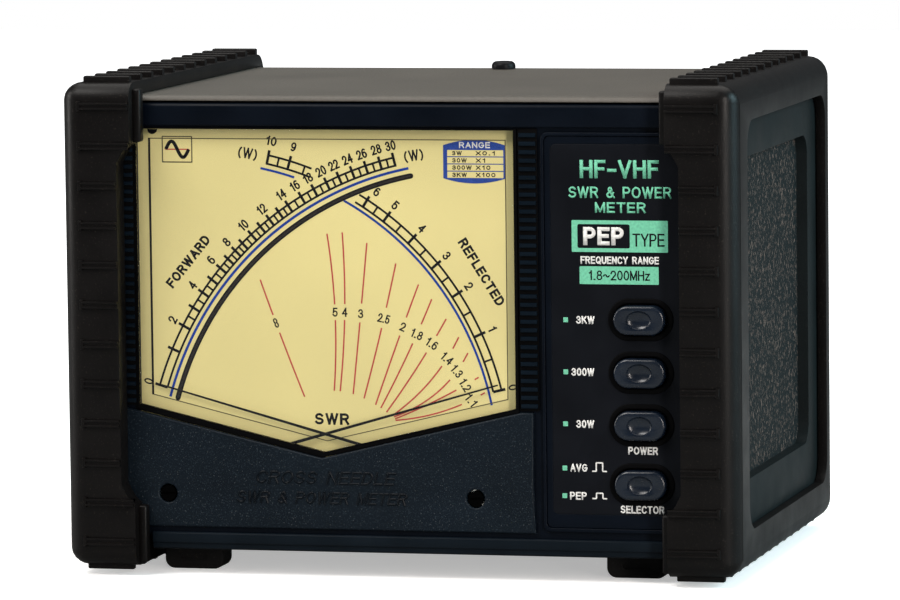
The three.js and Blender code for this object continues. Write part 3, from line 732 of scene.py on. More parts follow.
def pebbled_plastic(name, colour):
    """The textured floor of the end pockets: short raised grains with brown dust caught on them."""
    surface = Surface(name, Specular_IOR_Level=0.1)
    grains = surface.noise(0.9, 2.0, (1, 1.5, 0.8), 0.5)
    fine = surface.noise(0.35, 2.0)
    dust = surface.ramp(grains, "Fac", [(0.585, (0, 0, 0)), (0.63, (1, 1, 1))])
    tone = surface.ramp(fine, "Fac", [(0.35, scaled(colour, 0.8)), (0.65, scaled(colour, 1.25))])
    surface.set_colour(surface.mix((dust, "Color"), (tone, "Color"), (0.10, 0.070, 0.058)))
    surface.set_roughness(fine, "Fac", 0.62, 0.8)
    surface.bump(grains, "Fac", 0.35, 0.8)
    return surface.material


def texture_paint(name, colour):
    """Fine textured paint on sheet steel."""
    surface = Surface(name, Specular_IOR_Level=0.35)
    clouds = surface.noise(30.0, 2.0)
    grit = surface.noise(0.55, 3.0, (1, 1, 1), 0.65)
    tone = surface.ramp(clouds, "Fac", [(0.3, scaled(colour, 0.85)), (0.7, scaled(colour, 1.12))])
    specks = surface.ramp(grit, "Fac", [(0.35, (0, 0, 0)), (0.7, (0.5, 0.5, 0.5))])
    surface.set_colour(surface.mix((specks, "Color"), (tone, "Color"), scaled(colour, 1.9)))
    surface.set_roughness(grit, "Fac", 0.42, 0.58)
    surface.bump(grit, "Fac", 0.09, 0.7)
    return surface.material


def speckled_plastic(name, colour):
    """Blue slate plastic with fine pale speckles."""
    surface = Surface(name, Specular_IOR_Level=0.12)
    clouds = surface.noise(22.0, 2.0)
    grit = surface.noise(0.42, 2.0, (1, 1, 1), 0.7)
    stars = surface.cells(0.9)
    tone = surface.ramp(clouds, "Fac", [(0.3, scaled(colour, 0.85)), (0.7, scaled(colour, 1.15))])
    specks = surface.ramp(grit, "Fac", [(0.56, (0, 0, 0)), (0.74, (0.55, 0.55, 0.55))])
    bright = surface.ramp(stars, "Distance", [(0.07, (0.45, 0.45, 0.45)), (0.14, (0, 0, 0))])
    speckled = surface.mix((specks, "Color"), (tone, "Color"), (0.038, 0.056, 0.072))
    surface.set_colour(surface.mix((bright, "Color"), speckled, (0.16, 0.18, 0.19)))
    surface.set_roughness(grit, "Fac", 0.38, 0.56)
    surface.bump(grit, "Fac", 0.06, 0.7)
    return surface.material


def polished_plastic(name, colour):
    """Polished plastic with faint handling marks."""
    surface = Surface(name, Specular_IOR_Level=0.42)
    smears = surface.noise(3.0, 3.0, (1, 1, 2.5))
    clouds = surface.noise(9.0, 2.0)
    tone = surface.ramp(clouds, "Fac", [(0.3, scaled(colour, 0.8)), (0.7, scaled(colour, 1.3))])
    surface.set_colour(tone.outputs["Color"])
    surface.set_roughness(smears, "Fac", 0.17, 0.34)
    surface.bump(surface.noise(0.8, 1.0), "Fac", 0.006, 0.4)
    return surface.material


def printed_card(name, colour):
    """The warm dial card: a faint paper tooth and a slow change of tone."""
    surface = Surface(name)
    clouds = surface.noise(45.0, 1.0)
    tooth = surface.noise(0.3, 2.0)
    tone = surface.ramp(clouds, "Fac", [(0.3, scaled(colour, 0.93)), (0.7, scaled(colour, 1.05))])
    fine = surface.ramp(tooth, "Fac", [(0.3, (0.965, 0.965, 0.965)), (0.7, (1, 1, 1))])
    surface.set_colour(surface.mix(1.0, (tone, "Color"), (fine, "Color"), "MULTIPLY"))
    surface.set_roughness(tooth, "Fac", 0.55, 0.68)
    surface.bump(tooth, "Fac", 0.008, 0.3)
    return surface.material


def ink(name, colour, roughness=0.5):
    """Screen-printed ink, a little uneven."""
    surface = Surface(name, Specular_IOR_Level=0.12)
    film = surface.noise(0.7, 2.0)
    tone = surface.ramp(film, "Fac", [(0.3, scaled(colour, 0.85)), (0.7, scaled(colour, 1.1))])
    surface.set_colour(tone.outputs["Color"])
    surface.set_roughness(film, "Fac", roughness - 0.05, roughness + 0.08)
    surface.bump(film, "Fac", 0.004, 0.3)
    return surface.material


def metal(name, colour, roughness, brush):
    """Plated, ground or drawn metal: the brush direction is the axis with the smallest stretch."""
    surface = Surface(name, Metallic=1.0)
    lines = surface.noise(0.6, 3.0, brush)
    clouds = surface.noise(8.0, 2.0)
    tone = surface.ramp(clouds, "Fac", [(0.3, scaled(colour, 0.86)), (0.7, scaled(colour, 1.08))])
    surface.set_colour(tone.outputs["Color"])
    surface.set_roughness(lines, "Fac", max(roughness - 0.1, 0.04), roughness + 0.12)
    surface.bump(lines, "Fac", 0.01, 0.5)
    return surface.material


def copper_winding(name):
    """Enamelled copper wire laid side by side."""
    surface = Surface(name, Metallic=0.85)
    wave = surface.texture(
        "ShaderNodeTexWave", (600, 600, 600), Scale=1.0, bands_direction="Y", Distortion=0.3)
    tone = surface.ramp(wave, "Fac", [(0.2, (0.18, 0.05, 0.02)), (0.7, (0.55, 0.22, 0.09))])
    surface.set_colour(tone.outputs["Color"])
    surface.set_roughness(wave, "Fac", 0.25, 0.4)
    surface.bump(wave, "Fac", 0.05, 0.8)
    return surface.material


def circuit_board(name):
    """Green laminate with a maze of copper tracks under its mask."""
    surface = Surface(name)
    tracks = surface.texture(
        "ShaderNodeTexBrick", (260, 260, 260), Scale=1.0, Mortar_Size=0.06, Brick_Width=1.3, Row_Height=0.5)
    grain = surface.noise(0.6, 2.0)
    tracks.inputs["Color1"].default_value = (0.012, 0.075, 0.028, 1)
    tracks.inputs["Color2"].default_value = (0.016, 0.090, 0.034, 1)
    tracks.inputs["Mortar"].default_value = (0.05, 0.19, 0.06, 1)
    surface.set_colour(tracks.outputs["Color"])
    surface.set_roughness(grain, "Fac", 0.3, 0.45)
    surface.bump(tracks, "Fac", 0.03, 0.5)
    return surface.material


def clear_pane(name):
    """Clear moulded plastic: it lets the view through and reflects the studio by its angle."""
    surface = Surface(name)
    tree = surface.tree
    tree.nodes.remove(surface.shader)
    through = surface.add("ShaderNodeBsdfTransparent")
    through.inputs["Color"].default_value = (0.985, 0.985, 0.975, 1)
    gloss = surface.add("ShaderNodeBsdfGlossy")
    smears = surface.noise(12.0, 2.0)
    surface.link(surface.spread(smears, "Fac", 0.01, 0.06), "Result", gloss, "Roughness")
    angle = surface.add("ShaderNodeLayerWeight", Blend=0.5)
    share = surface.ramp(angle, "Facing", [
        (0.0, (0.012, 0.012, 0.012)), (0.55, (0.03, 0.03, 0.03)), (0.8, (0.1, 0.1, 0.1)),
        (1.0, (0.5, 0.5, 0.5))])
    mixer = surface.add("ShaderNodeMixShader")
    surface.link(share, "Color", mixer, "Fac")
    tree.links.new(through.outputs["BSDF"], mixer.inputs[1])
    tree.links.new(gloss.outputs["BSDF"], mixer.inputs[2])
    surface.link(mixer, "Shader", surface.output, "Surface")
    return surface.material


MATERIALS = {}


def make_materials(colours):
    """Builds every finish of the meter once."""
    c = {name: tuple(getattr(colours, name)) for name in colours.__annotations__}
    MATERIALS.update({
        "bumper": moulded_plastic("bumper_plastic", c["bumper"], 0.42, 0.5, 0.05, 0.1, gloss=0.15),
        "cheek": moulded_plastic("cheek_plastic", c["cheek"], 0.5, 0.6, 0.04, 0.12, (0.05, 0.045, 0.04)),
        "pebbled": pebbled_plastic("cheek_pebbled", c["cheek"]),
        "case_paint": texture_paint("case_paint", c["case_paint"]),
        "bezel": moulded_plastic("bezel_plastic", c["bezel"], 0.4, 0.5, 0.02, 0.12, (0.03, 0.04, 0.05)),
        "trim_ridge": moulded_plastic("trim_ridge", (0.0020, 0.0056, 0.0105), 0.4, 0.5, 0.02),
        # A lighter copy of the bezel's plastic: painted light, for the base strip's face that catches the
        # light.
        "base_strip": moulded_plastic(
            "base_strip", (0.0042, 0.0075, 0.0115), 0.4, 0.5, 0.02, 0.1, (0.03, 0.04, 0.05)),
        # Near-black plastic: painted shade, so that the zero screws read as dark holes.
        "deep_black": moulded_plastic("deep_black", (0.0008, 0.0008, 0.0009), 0.7, 0.5, 0.01, gloss=0.01),
        "lower_cover": speckled_plastic("lower_cover_plastic", c["lower_cover"]),
        "raised_lettering": moulded_plastic(
            "raised_lettering", scaled(c["lower_cover"], 0.55), 0.4, 0.5, 0.02),
        "label": moulded_plastic(
            "label_ink", (0.0044, 0.0052, 0.0076), 0.42, 0.35, 0.01, 0.06, (0.03, 0.03, 0.04)),
        "button": polished_plastic("button_plastic", c["button"]),
        "black": moulded_plastic("black_plastic", (0.006, 0.006, 0.007), 0.4, 0.5, 0.02),
        # Near-black plastic: also painted shade in the trims' gaps, the button wells and round the window.
        "gasket": moulded_plastic("gasket", (0.0016, 0.0016, 0.0019), 0.6, 0.5, 0.01, gloss=0.04),
        "dial": printed_card("dial_card", c["dial"]),
        # A darker copy of the dial card: painted shade for the band along the window's edge.
        "dial_shade": printed_card("dial_shade", scaled(c["dial"], 0.87)),
        "black_ink": ink("black_ink", (0.003, 0.003, 0.005)),
        "line_ink": ink("line_ink", (0.10, 0.085, 0.045)),
        "blue_ink": ink("blue_ink", (0.006, 0.045, 0.34)),
        "range_ink": ink("range_ink", (0.022, 0.062, 0.32)),
        "red_ink": ink("red_ink", (0.52, 0.07, 0.065)),
        "white_ink": ink("white_ink", (0.78, 0.78, 0.76)),
        "mint_ink": ink("mint_ink", c["mint"]),
        "mirror": ink("mirror_strip", (0.024, 0.020, 0.020), 0.3),
        "needle": ink("needle_paint", (0.006, 0.006, 0.008), 0.4),
        "chassis": metal("chassis_steel", (0.62, 0.61, 0.57), 0.38, (0.15, 1, 1)),
        "iron": metal("soft_iron", (0.42, 0.41, 0.40), 0.4, (1, 0.2, 1)),
        "tinplate": metal("tinplate", (0.68, 0.67, 0.64), 0.3, (0.2, 1, 1)),
        "nickel": metal("nickel_plating", (0.74, 0.72, 0.68), 0.2, (1, 0.3, 1)),
        "gilt": metal("contact_plating", (0.83, 0.62, 0.25), 0.22, (1, 0.3, 1)),
        "copper": copper_winding("copper_wire"),
        "ferrite": moulded_plastic("ferrite", (0.035, 0.033, 0.036), 0.55, 0.4, 0.04, 0.2),
        "board": circuit_board("board_laminate"),
        "insulator": moulded_plastic("insulator_plastic", (0.78, 0.75, 0.66), 0.42, 0.8, 0.01),
        "clear": clear_pane("clear_plastic"),
        "rubber": moulded_plastic("rubber", (0.012, 0.012, 0.012), 0.72, 0.7, 0.04, 0.1),
    })


def repaint(node, material):
    """Gives a node of the frame a material, and leaves its shape alone."""
    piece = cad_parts[node]
    piece.data.materials.clear()
    piece.data.materials.append(MATERIALS[material])


# ---- bumpers and cheeks ---------------------------------------------------------------------------

def waist_outline():
    """The part of a bumper's front flange that is cut back between its tabs."""
    top, bottom, left = 112.2, 20.8, BUMPER_TAB - 8
    middle = (BUMPER_WAIST + BUMPER_TAB) / 2
    upper = smooth_line((BUMPER_TAB, top + 1.6), (middle, top - 0.4), (BUMPER_WAIST, top - 3.6), 10)
    lower = smooth_line((BUMPER_WAIST, bottom + 3.6), (middle, bottom + 0.2), (BUMPER_TAB, bottom - 1.6), 10)
    return [(left, top + 1.6)] + upper + lower + [(left, bottom - 1.6)]


def model_front_bar(inner, front, half):
    """A grip bar for the front, at height nought: a sunken face between two ridges, and an end cap."""
    face, reach = front - BAR_PROUD, front + 1
    parts = [add_block("bar", (inner, face + 0.45, -half), (BAR_OUTER, reach, half))]
    for low in (-half, half - 0.6):
        parts.append(add_block("ridge", (inner, face, low), (BAR_OUTER, reach, low + 0.6)))
        round_edges(parts[-1], 0.24, 2, at(1, face))
    cap = add_block(
        "bar_cap", (BAR_OUTER - 0.7, face, -half - 0.35), (BAR_OUTER + 0.25, reach, half + 0.35))
    parts.append(round_edges(cap, 0.3, 2, at(1, face)))
    return join(parts, "front_bar")


def add_bars(shape, top, bottom, front):
    """The grip bars: flat ones down the front, rounded ones along the top and the bottom."""
    half = shape.bar_width / MM / 2
    tab_bar = model_front_bar(BUMPER_TAB + 0.2, front, half)
    waist_bar = model_front_bar(BUMPER_WAIST + 0.1, front, half)
    patterns, bars = [tab_bar, waist_bar], []
    for i in range(FRONT_BAR_COUNT):
        z = top - FRONT_BAR_TOP + BAR_PROUD - FRONT_BAR_PITCH * i
        bars.append(copy_piece(waist_bar if WAIST_LOW < z < WAIST_HIGH else tab_bar, (0, 0, z)))
    middle = (BUMPER_LOW.y + BAR_PROUD + BUMPER_HIGH.y) / 2
    for edge, proud in ((top, BAR_PROUD), (bottom, -BAR_PROUD)):
        low, high = sorted((edge - 3.0 * math.copysign(1, proud), edge + proud))
        shift = 0.0 if proud > 0 else 0.9
        rod = add_block("rod", (BUMPER_TAB + 0.8 + shift, -half, low), (BAR_OUTER - 0.5 + shift, half, high))
        patterns.append(round_edges(rod, 0.4, 3, at(2, edge + proud)))
        for i in range(TOP_BAR_COUNT):
            y = middle + TOP_BAR_PITCH * (i - (TOP_BAR_COUNT - 1) / 2)
            bars.append(copy_piece(rod, (0, y, 0)))
    discard(patterns)
    return bars


def model_bumper(shape):
    """The right-hand bumper: a deep moulded cap with an open side, ledges behind its tabs and grip bars."""
    front = BUMPER_LOW.y + BAR_PROUD
    bottom, top = BUMPER_LOW.z + BAR_PROUD, BUMPER_HIGH.z - BAR_PROUD
    outer, back = BUMPER_HIGH.x, BUMPER_HIGH.y
    edge = shape.bumper_edge / MM
    body = add_block("bumper_right_shell", (BUMPER_TAB, front, bottom + 0.3), (outer, back, top - 0.7))
    round_edges(body, 6.0, 8, lambda c: along(0)(c) and c[0].y > 0)
    round_edges(body, 4.4, 6, lambda c: along(0)(c) and c[0].y < front + 0.01)
    round_edges(body, edge, 6, at(0, outer))
    inside = BEZEL_FRONT - 0.3
    hollow = add_block(
        "hollow", (BUMPER_TAB - 5, inside, CHEEK_LOW.z - 0.3),
        (outer - 2.5, COVER_HIGH.y + 0.3, COVER_HIGH.z + 0.3))
    waist = add_plate("waist", [waist_outline()], front - 5, inside + 0.4)
    opening = add_plate(
        "opening", [rounded_rectangle(-51.4, 57.2, 13.5, 119.6, 7, 8)], outer - 10, outer + 5, axis="X")
    combine(body, [hollow, waist, opening], "DIFFERENCE")
    ledges = [
        add_block("ledge", (BUMPER_LOW.x, front + 3.4, 114), (BUMPER_TAB + 0.6, inside, top - 2.5)),
        add_block("ledge", (BUMPER_LOW.x, front + 3.4, bottom + 1), (BUMPER_TAB + 0.6, inside, 18.6)),
    ]
    soften(body, 0.5, 3, 40)
    for ledge in ledges:
        soften(ledge, 0.6, 3, 40)
    return join([body] + ledges + add_bars(shape, top, bottom, front), "bumper_right_shell")


def model_cheek():
    """The right-hand cheek: a plate with a pocket whose floor is pebbled."""
    plate = add_block("cheek_right_plate", CHEEK_LOW, CHEEK_HIGH)
    pocket = add_plate(
        "pocket", [rounded_rectangle(-43, 45.3, 25.5, 109.4, 6, 8)],
        CHEEK_HIGH.x - 3, CHEEK_HIGH.x + 3, axis="X")
    combine(plate, [pocket], "DIFFERENCE")
    soften(plate, 0.7, 3, 40)
    paint(plate, MATERIALS["cheek"])
    plate.data.materials.append(MATERIALS["pebbled"])
    floor = CHEEK_HIGH.x - 3
    for face in plate.data.polygons:
        if face.normal.x > 0.9 and abs(face.center.x - floor) < 0.3:
            face.material_index = 1
    return plate


# ---- case and front -------------------------------------------------------------------------------

def model_top_cover():
    """The steel cover: a top sheet whose front edge is rolled down, with two sides."""
    sheet = 1.25
    front, back, top = COVER_LOW.y, COVER_HIGH.y, COVER_HIGH.z
    half = COVER_HIGH.x
    roll = arc((front + 2.4, top - 1.35), 1.35, 90, 180, 8)
    roll = [(front + (y - front - 1.05) * 2.4 / 1.35, z) for y, z in roll]
    fold = [(front + 4.7, top), (front + 4.5, top - 0.35), (front + 4.1, top - 0.35), (front + 3.9, top)]
    outline = [(back, top - sheet), (back, top)] + fold + roll + [(front, top - sheet)]
    cover = add_plate("top_cover_sheet", [outline], -half, half, 0.05, axis="X")
    side_low, side_high = COVER_LOW.z, top - 0.6
    sides = [
        add_block("side", (x - 0.6, BEZEL_FRONT + 7.4, side_low), (x + 0.6, back, side_high))
        for x in (half - 0.6, 0.6 - half)]
    for side in sides:
        soften(side, 0.25, 2)
    return join([cover] + sides, "top_cover_sheet")


def button_oblong(name, size):
    """An oblong of a width and a height round a push button."""
    low, high = node_box(name)
    return stadium((low.x + high.x) / 2, (low.z + high.z) / 2, *size)


def model_bezel():
    """The front bezel: its plate with the openings, the top bar and the stepped base strip."""
    half = BEZEL_HIGH.x
    window = [(PANE_LOW.x - 0.3, 14.5), (PANE_HIGH.x + 0.3, 14.5), (PANE_HIGH.x + 0.3, PANE_HIGH.z + 0.3),
              (PANE_LOW.x - 0.3, PANE_HIGH.z + 0.3)]
    openings = [window] + [button_oblong(name, BUTTON_OPENING) for name in BUTTONS]
    plate = add_plate(
        "bezel_plate", [rounded_rectangle(-half, half, 10.1, BEZEL_HIGH.z - 0.6, 0.4)] + openings,
        PLATE_FRONT, PLATE_BACK, 0.1)
    top_bar = add_plate(
        "bezel_top_bar",
        [rounded_rectangle(BEZEL_FRONT, PLATE_BACK + 3.8, 118.15, BEZEL_HIGH.z, [0.35, 0.1, 0.3, 1.2], 8)],
        -half, half, 0.1, axis="X")
    strip = add_plate(
        "bezel_base_strip",
        [[(BEZEL_FRONT, 8.6), (BEZEL_FRONT + 0.5, 8.2), (BEZEL_FRONT + 0.5, 7.1),
          (BEZEL_FRONT + 1.2, BEZEL_LOW.z), (PLATE_BACK + 0.9, BEZEL_LOW.z), (PLATE_BACK + 0.9, 10.9),
          (BEZEL_FRONT + 0.5, 11.3), (BEZEL_FRONT, 10.9)]],
        -68.5, 68.5, 0.1, axis="X")
    soften(strip, 0.2, 2, 20)
    paint(plate, MATERIALS["bezel"])
    paint(top_bar, MATERIALS["bezel"])
    # Painted light: the base strip, one moulding with the bezel, takes a lighter plastic.
    paint(strip, MATERIALS["base_strip"])
    return join([plate, top_bar, strip], "bezel")


def cover_outline():
    """The V-topped outline of the lower cover."""
    return [
        (LOWER_LOW.x, LOWER_LOW.z), (LOWER_HIGH.x, LOWER_LOW.z), (LOWER_HIGH.x - 0.5, LOWER_LOW.z + 12),
        (LOWER_HIGH.x - 0.3, COVER_SHOULDER), (LOWER_HIGH.x - 3.6, COVER_SHOULDER),
        COVER_APEX, (LOWER_LOW.x, COVER_SHOULDER)]


def model_lower_cover():
    """The lower cover with its two adjuster holes."""
    holes = [circle(x, z, SCREW_HOLE_RADIUS) for x, z in SCREW_HOLES]
    return add_plate(
        "lower_cover_plate", [cover_outline()] + holes, BEZEL_FRONT, BEZEL_FRONT + 1.8, 0.55, resolution=3)


def window_outline(inset=0.0):
    """The outline of the meter's window, or a line inside it."""
    left, right, top = PANE_LOW.x + inset, PANE_HIGH.x - inset, PANE_HIGH.z - inset
    return [(left, top), (left, WINDOW_SHOULDER + inset * 0.8),
            (WINDOW_APEX[0], WINDOW_APEX[1] + inset * 0.95),
            (right, WINDOW_SHOULDER + inset * 0.8), (right, top)]


def model_trim(left):
    """A trim beside the window: a bar with a column of small ridges, the bar painted near-black as painted
    shade between the ridges.
    """
    low, high = node_box("meter_trim_left" if left else "meter_trim_right")
    base = add_block("trim_base", (low.x, low.y + 0.55, low.z), (high.x, high.y, high.z))
    soften(base, 0.15)
    # Painted shade: the base between the ridges takes the near-black gasket plastic, darker than the ridges.
    paint(base, MATERIALS["gasket"])
    ridges = bpy.context.scene.meter_shape.trim_ridges
    pitch = (high.z - low.z - 3.0) / (ridges - 1)
    ridge = add_block("ridge", (low.x + 0.35, low.y, -0.55), (high.x - 0.35, low.y + 0.7, 0.55))
    paint(round_edges(ridge, 0.28, 2, at(1, low.y)), MATERIALS["trim_ridge"])
    pieces = [base]
    for i in range(ridges):
        pieces.append(copy_piece(ridge, (0, 0, low.z + 1.3 + pitch * i)))
    discard([ridge])
    return join(pieces, "trim_left" if left else "trim_right")


# ---- dial -----------------------------------------------------------------------------------------

def detector_sweep(power, gain, offset):
    """Degrees that a needle turns for a power: a diode detector's square root with a soft start."""
    return gain * (math.sqrt(power + offset) - math.sqrt(offset))


def unevenness(table, power):
    """A scale's own small departure from the detector's curve, in degrees."""
    lift = 0.0
    for (start, low), (end, high) in zip(table, table[1:]):
        if start <= power <= end:
            lift = low + (high - low) * (power - start) / (end - start)
    return lift


def forward_angle(power):
    """The forward needle's angle at a power."""
    sweep = detector_sweep(power, *FORWARD_DETECTOR)
    return FORWARD_ZERO - sweep + unevenness(FORWARD_UNEVENNESS, power)


def reflected_angle(power):
    """The reflected needle's angle at a power."""
    sweep = detector_sweep(power, *REFLECTED_DETECTOR)
    return REFLECTED_ZERO + sweep + unevenness(REFLECTED_UNEVENNESS, power)


def ladder(centre, inner, outer, tick_end, angle_of, values, limits):
    """A scale like a ladder: two rails, long ticks for whole values and short ones between."""
    start, end = angle_of(limits[0]), angle_of(limits[1])
    rails = [band(centre, radius, 0.54, start, end) for radius in (inner, outer)]
    ticks = []
    for value, long in values:
        reach = tick_end if long else outer + 0.2
        ends = [polar(centre, radius, angle_of(value)) for radius in (inner, reach)]
        ticks.append(stroke(ends, 0.7 if long else 0.5))
    return rails, ticks


def forward_values():
    """Ticks of the forward scale as (value, is long) pairs."""
    values = [(v, True) for v in range(0, 15)] + [(v, True) for v in range(16, 31, 2)]
    values += [(v + 0.5, False) for v in range(2, 14)] + [(v, False) for v in range(15, 30, 2)]
    return values


# Constant-SWR curves: label, upper end, label's place and lower end, in millimetres on the dial.
SWR_CURVES = (
    ("∞", (-39.1, 77.7), (-35.0, 66.4), (-27.5, 47.1)),
    ("5", (-20.9, 89.9), (-19.0, 69.4), (-19.5, 48.8)),
    ("4", (-16.8, 90.3), (-16.4, 69.4), (-17.9, 48.7)),
    ("3", (-10.2, 87.6), (-12.1, 69.1), (-14.4, 48.0)),
    ("2.5", (-2.5, 82.3), (-5.9, 67.9), (-11.5, 46.9)),
    ("2", (3.5, 76.9), (-0.8, 65.8), (-8.4, 45.3)),
    ("1.8", (7.0, 73.1), (2.9, 63.9), (-7.0, 44.5)),
    ("1.6", (10.8, 68.0), (6.9, 61.5), (-5.5, 43.4)),
    ("1.4", (14.1, 63.3), (10.9, 57.7), (-3.7, 42.7)),
    ("1.3", (16.5, 59.2), (13.5, 54.4), (-3.5, 42.2)),
    ("1.2", (19.3, 52.9), (15.7, 50.8), (-3.2, 41.7)),
    ("1.1", (20.9, 48.9), (17.2, 46.9), (-3.1, 41.3)),
)


def curve_points(top, label, bottom):
    """A gentle curve through three unevenly spaced points."""
    first, middle, last = Vector(top), Vector(label), Vector(bottom)
    share = (middle - first).length / ((middle - first).length + (last - middle).length)
    blend = 2 * share * (1 - share)
    control = (middle - first * (1 - share) ** 2 - last * share ** 2) / blend
    points = []
    for i in range(SWR_STEPS + 1):
        t = i / SWR_STEPS
        points.append(tuple(first * (1 - t) ** 2 + control * 2 * t * (1 - t) + last * t ** 2))
    return points, share


def swr_strokes():
    """The red curves, each broken round its label."""
    strokes = []
    for words, top, label, bottom in SWR_CURVES:
        points, share = curve_points(top, label, bottom)
        clear = 2.0 if len(words) == 1 else 2.35
        centre = Vector(label)
        upper, lower = [], []
        for i, point in enumerate(points):
            if (Vector(point) - centre).length > clear:
                (upper if i / SWR_STEPS < share else lower).append(point)
        strokes += [stroke(part, 0.38) for part in (upper, lower) if len(part) > 1]
    return strokes


class Printing:
    """Collects printed pieces, each at its own small height above its plate."""

    def __init__(self, front, thickness):
        self.front = front
        self.thickness = thickness
        self.pieces = []

    def shapes(self, name, outlines, material, layer=0):
        face = self.front - self.thickness * (1 + 0.4 * layer)
        piece = add_plate(name, outlines, face, self.front + 0.01)
        self.pieces.append(paint(piece, MATERIALS[material]))

    def words(self, name, words, centre, width, height, material, turn=0.0, weight=0.4, layer=0):
        ground = self.front - (self.thickness * (0.6 + 0.4 * layer) if layer else 0)
        piece = add_caption(
            name, words, centre, width, height, ground, turn, weight, thickness=self.thickness * 1.1)
        self.pieces.append(paint(piece, MATERIALS[material]))


def print_scales(dial):
    """Both ladders, their coloured arcs and the mirror strip."""
    rails, ticks = ladder(
        FORWARD_CENTRE, 86.65, 88.8, 90.1, forward_angle, forward_values(), (0, 30.2))
    dial.shapes("forward_rails", rails, "black_ink")
    dial.shapes("forward_ticks", ticks, "black_ink", 1)
    near = [(v, True) for v in range(0, 7)] + [(v + 0.5, False) for v in range(0, 6)]
    rails, ticks = ladder(
        REFLECTED_CENTRE, 79.1, 81.35, 82.4, reflected_angle, near, (0, 6.35))
    dial.shapes("reflected_rails", rails, "black_ink")
    dial.shapes("reflected_ticks", ticks, "black_ink", 1)
    far = [(10, True), (9.5, False), (9, True), (8.3, False)]
    rails, ticks = ladder(
        REFLECTED_CENTRE, 79.6, 81.85, 83.2, lambda v: reflected_angle(v) + FAR_SHIFT, far, (8.0, 10.05))
    dial.shapes("far_rails", rails, "black_ink")
    dial.shapes("far_ticks", ticks, "black_ink", 1)
    dial.shapes("blue_arcs", [
        band(FORWARD_CENTRE, 85.25, 0.68, 164.3, 101.4, 80),
        band(REFLECTED_CENTRE, 77.9, 0.6, 11.4, 61.3, 60),
        band(REFLECTED_CENTRE, 78.1, 0.6, 72.0, 78.9, 10)], "blue_ink")
    strip = round_band(FORWARD_CENTRE, 83.2, 1.4, 164.1, 101.3)
    dial.shapes("mirror_rim", [strip, round_band(FORWARD_CENTRE, 83.2, 0.6, 164.0, 101.4)], "black_ink")
    dial.shapes("mirror_strip", [round_band(FORWARD_CENTRE, 83.2, 0.8, 164.0, 101.4)], "mirror", -1)


def round_band(centre, radius, width, start, end):
    """A strip along an arc with half-round ends."""
    first = arc(polar(centre, radius, start), width / 2, start + 180, start, 6)
    last = arc(polar(centre, radius, end), width / 2, end, end - 180, 6)
    outer = arc(centre, radius + width / 2, start, end, 70)
    inner = arc(centre, radius - width / 2, end, start, 70)
    return outer[1:] + last[1:] + inner[1:] + first[1:]


def print_numbers(dial):
    """The numbers and words of the dial."""
    for value in range(0, 31, 2):
        angle = forward_angle(value)
        width = 1.6 if value < 10 else 2.85 if value >= 20 else 2.6
        dial.words(
            f"forward_{value}", str(value), polar(FORWARD_CENTRE, 92.0, angle), width, 2.6,
            "black_ink", angle - 90, 0.5)
    for value in range(0, 7):
        angle = reflected_angle(value) - (0.75 if value == 6 else 0)
        width = 1.1 if value == 1 else 1.6
        dial.words(
            f"reflected_{value}", str(value), polar(REFLECTED_CENTRE, 84.5, angle), width, 2.5,
            "black_ink", angle - 90, 0.5)
    for value in (9, 10):
        angle = reflected_angle(value) + FAR_SHIFT
        dial.words(
            f"far_{value}", str(value), polar(REFLECTED_CENTRE, 85.7, angle), 1.5 * len(str(value)), 2.5,
            "black_ink", angle - 90, 0.5)
    for words, _, place, _ in SWR_CURVES:
        width = {1: 1.5, 3: 3.3}[len(words)]
        lean = {"∞": -68, "2": -22, "2.5": -14, "1.8": -24, "1.6": -34, "1.4": -42, "1.3": -50, "1.2": -58,
                "1.1": -52}.get(words, 0)
        height = 2.4
        if words == "∞":
            width, height = 2.7, 1.9
        name = f"swr_{words}".replace("∞", "infinite")
        dial.words(name, words, place, width, height, "black_ink", lean, 0.42)
    dial.words("word_swr", "SWR", (-20.2, 41.4), 9.4, 3.1, "black_ink", weight=0.72)
    dial.words("word_forward", "FORWARD", (-58.6, 82.3), 16.7, 2.7, "black_ink", 50.5, 0.66)
    dial.words("word_reflected", "REFLECTED", (20.4, 80.3), 19.8, 2.7, "black_ink", -58, 0.66)
    dial.words("word_watts_left", "(W)", (-42.0, 110.8), 5.2, 2.9, "black_ink", -10, 0.5)
    dial.words("word_watts_right", "(W)", (2.6, 110.5), 5.2, 2.9, "black_ink", 9, 0.5)


def print_range_table(dial):
    """The blue table of range factors at the upper right of the dial."""
    left, right = 10.5, 27.1
    crown = smooth_line((left, 113.2), ((left + right) / 2, 114.6), (right, 113.2), 12)
    foot = smooth_line((right, 104.6), ((left + right) / 2, 103.3), (left, 104.6), 12)
    dial.shapes("range_table", [crown + foot], "range_ink")
    rows = (("3W", "X0.1"), ("30W", "X1"), ("300W", "X10"), ("3KW", "X100"))
    for i, (words, factor) in enumerate(rows):
        z = 111.15 - 1.87 * i
        cell = [(11.6, z - 0.8), (26.5, z - 0.8), (26.5, z + 0.8), (11.6, z + 0.8)]
        dial.shapes(f"range_row_{i}", [cell], "dial", 1)
        for name, text, x in (("power", words, 12.9), ("factor", factor, 19.2)):
            width = 1.3 * len(text)
            dial.words(
                f"range_{name}_{i}", text, (x + width / 2, z), width, 1.15, "black_ink", 0, 0.28, 2)
    dial.words("range_title", "RANGE", (18.9, 113.25), 8.3, 1.6, "white_ink", 0, 0.34, 1)


